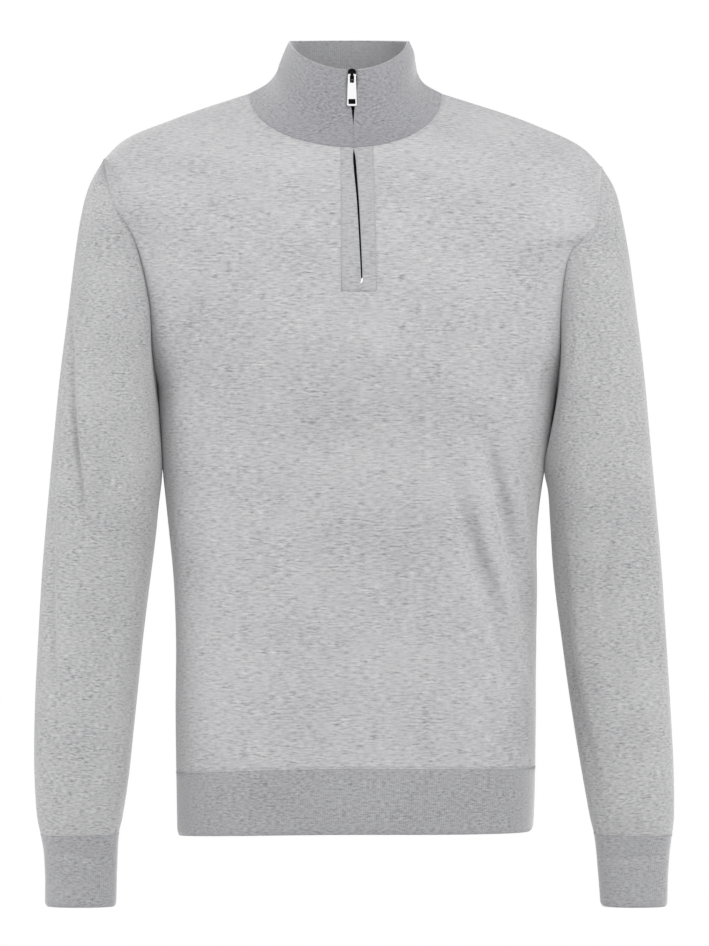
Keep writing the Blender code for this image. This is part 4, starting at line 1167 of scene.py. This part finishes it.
def flatOutlines(outlines):
    # A flat sheet with holes, filled between closed outlines of x and z, as loose mesh data.
    curve = bpy.data.curves.new("outline", "CURVE")
    curve.dimensions, curve.fill_mode = "2D", "BOTH"
    for outline in outlines:
        spline = curve.splines.new("POLY")
        spline.points.add(len(outline) - 1)
        spline.points.foreach_set("co", np.insert(outline, 2, ((0,), (1,)), axis=1).ravel())
        spline.use_cyclic_u = True
    holder = placed("outline", curve)
    mesh = bpy.data.meshes.new_from_object(holder.evaluated_get(bpy.context.evaluated_depsgraph_get()))
    bpy.data.objects.remove(holder)
    bpy.data.curves.remove(curve)
    return mesh


def pullTab():
    # A flat tab, wider at its foot, with a slot for the bridge and a window near its foot.
    p = pull
    small, large = p["topRound"], p["footRound"]
    topX, top, footX, foot = p["topHalf"] - small, p["top"] - small, p["footHalf"] - large, p["foot"] + large
    outline = roundedOutline(((footX, foot, large, -math.pi / 2), (topX, top, small, 0),
                              (-topX, top, small, math.pi / 2), (-footX, foot, large, math.pi)), 6)
    mesh = flatOutlines([outline, roundedBox(*p["slot"]), roundedBox(*p["window"])])
    points = np.zeros(len(mesh.vertices) * 3)
    mesh.vertices.foreach_get("co", points)
    mesh.vertices.foreach_set("co", ((points.reshape(-1, 3)[:, [0, 2, 1]] + np.array(bar)) * mm).ravel())
    mesh.update()
    mesh.materials.clear()
    mesh.materials.append(steel)
    tab = placed("zip_pull_tab", mesh)
    thick = tab.modifiers.new("thickness", "SOLIDIFY")
    thick.thickness, thick.offset = p["deep"] * mm, 0
    rounded = tab.modifiers.new("edges", "BEVEL")
    rounded.width, rounded.segments, rounded.angle_limit = p["bevel"] * mm, 3, math.radians(50)
    return tab


def zipStopClip():
    # A rounded clip: circles along a slightly bent path, with r = radius * sqrt(1 - 0.97 t ^ 6).
    place = zipEdge("right", np.array([stop["row"]]), np.zeros(1))[0]
    at = np.linspace(-1, 1, 13)
    path = np.stack([0.45 * at - 0.25 * at ** 2, np.zeros(13), at * stop["length"] / 2], axis=1)
    profiles = ring(12, stop["radius"]) * np.sqrt(1 - 0.97 * at ** 6)[:, None, None]
    shape = sweep(path, np.array([1.0, 0, 0]), profiles)
    return formPiece("zip_stop_clip", [shape], steel, place + np.array([0, stop["behind"], 0]), 60)


half = pull["insetDeep"] / 2
inset = formPiece("zip_pull_inset", [plate(roundedBox(*pull["inset"]), -half, half, 0.08)], blackZinc, bar, 38)
for piece, node, body, slot in ((zipTeeth(), "zip_chain", "garment", "zip_black"),
                                (sliderBody(), "zip_slider", "garment", "zip_black"),
                                (zipStopClip(), "zip_stop", "garment", "zip_steel"),
                                (pullTab(), "zip_pull", "pull", "zip_steel")):
    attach(piece, body)
    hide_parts(node)
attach(inset, "pull")
print("zip made")

# Floor: matt white studio paper, as far below as the feet of whoever would wear the sweater.
stage = {"floorZ": -1.42, "radius": 3.2}
paper = newMaterial("white studio paper", {"Base Color": linear("f2f2f2"), "Roughness": 0.95})[0]
floorMesh = bpy.data.meshes.new("floor")
floorMesh.from_pydata([(x * stage["radius"], y * stage["radius"], stage["floorZ"])
                       for x, y in ((-1, -1), (1, -1), (1, 1), (-1, 1))], [], [(0, 1, 2, 3)])
floorMesh.materials.append(paper)
floor = placed("floor", floorMesh)

# The camera and the metal see the studio's white walls; the cloth gets their softer light.
whiteWall, softened, seenAs = (1, 1, 1, 1), 0.49, 1.0
world = bpy.data.worlds.new("studio white")
bpy.context.scene.world = world
world.use_nodes = True
air = world.node_tree
background = air.nodes["Background"]
background.inputs["Color"].default_value = whiteWall
background.inputs["Strength"].default_value = softened
seen = add(air, "ShaderNodeBackground", {"Color": whiteWall, "Strength": seenAs})
rays = add(air, "ShaderNodeLightPath").outputs
either = add(air, "ShaderNodeMath", {"operation": "MAXIMUM"},
             {0: rays["Is Camera Ray"], 1: rays["Is Glossy Ray"]}).outputs[0]
mixed = add(air, "ShaderNodeMixShader", {}, {0: either, 1: background.outputs[0], 2: seen.outputs[0]})
air.links.new(mixed.outputs[0], air.nodes["World Output"].inputs["Surface"])

# Soft boxes: place, size and power in watts. All aim at the middle of the sweater.
aim = (0, 0, -0.35)
lights = {
    "key": ((1.25, -2.4, 2.2), 1.6, 76.0), "fill": ((-1.2, -3.8, 0.1), 2.0, 10.0),
    "sideRight": ((-2.7, -0.6, 0.2), 1.8, 32.0), "sideLeft": ((2.7, -0.6, 0.2), 1.8, 13.0),
}
for name, (place, size, power) in lights.items():
    lamp = bpy.data.lights.new(name, "AREA")
    lamp.size, lamp.energy = size, power
    holder = placed(name, lamp)
    way = np.array(place) - np.array(aim)
    holder.location = place
    holder.rotation_euler = (math.atan2(math.hypot(way[0], way[1]), way[2]), 0, math.atan2(way[0], -way[1]))

# The camera looks level from far away. Metres, with the height that its frame takes in at y = 0, and mm of
# sensor: lens = sensor * away / height.
view = {"x": 0.00225, "away": 6.0, "z": -0.3411, "height": 0.8514, "sensor": 36.0}
camera = bpy.data.cameras.new("camera")
camera.sensor_width, camera.lens = view["sensor"], view["sensor"] * view["away"] / view["height"]
cameraHolder = placed("camera", camera)
cameraHolder.location = (view["x"], -view["away"], view["z"])
cameraHolder.rotation_euler = (math.pi / 2, 0, 0)
bpy.context.scene.camera = cameraHolder
bpy.context.scene.view_settings.view_transform = "Standard"
print("stage set")
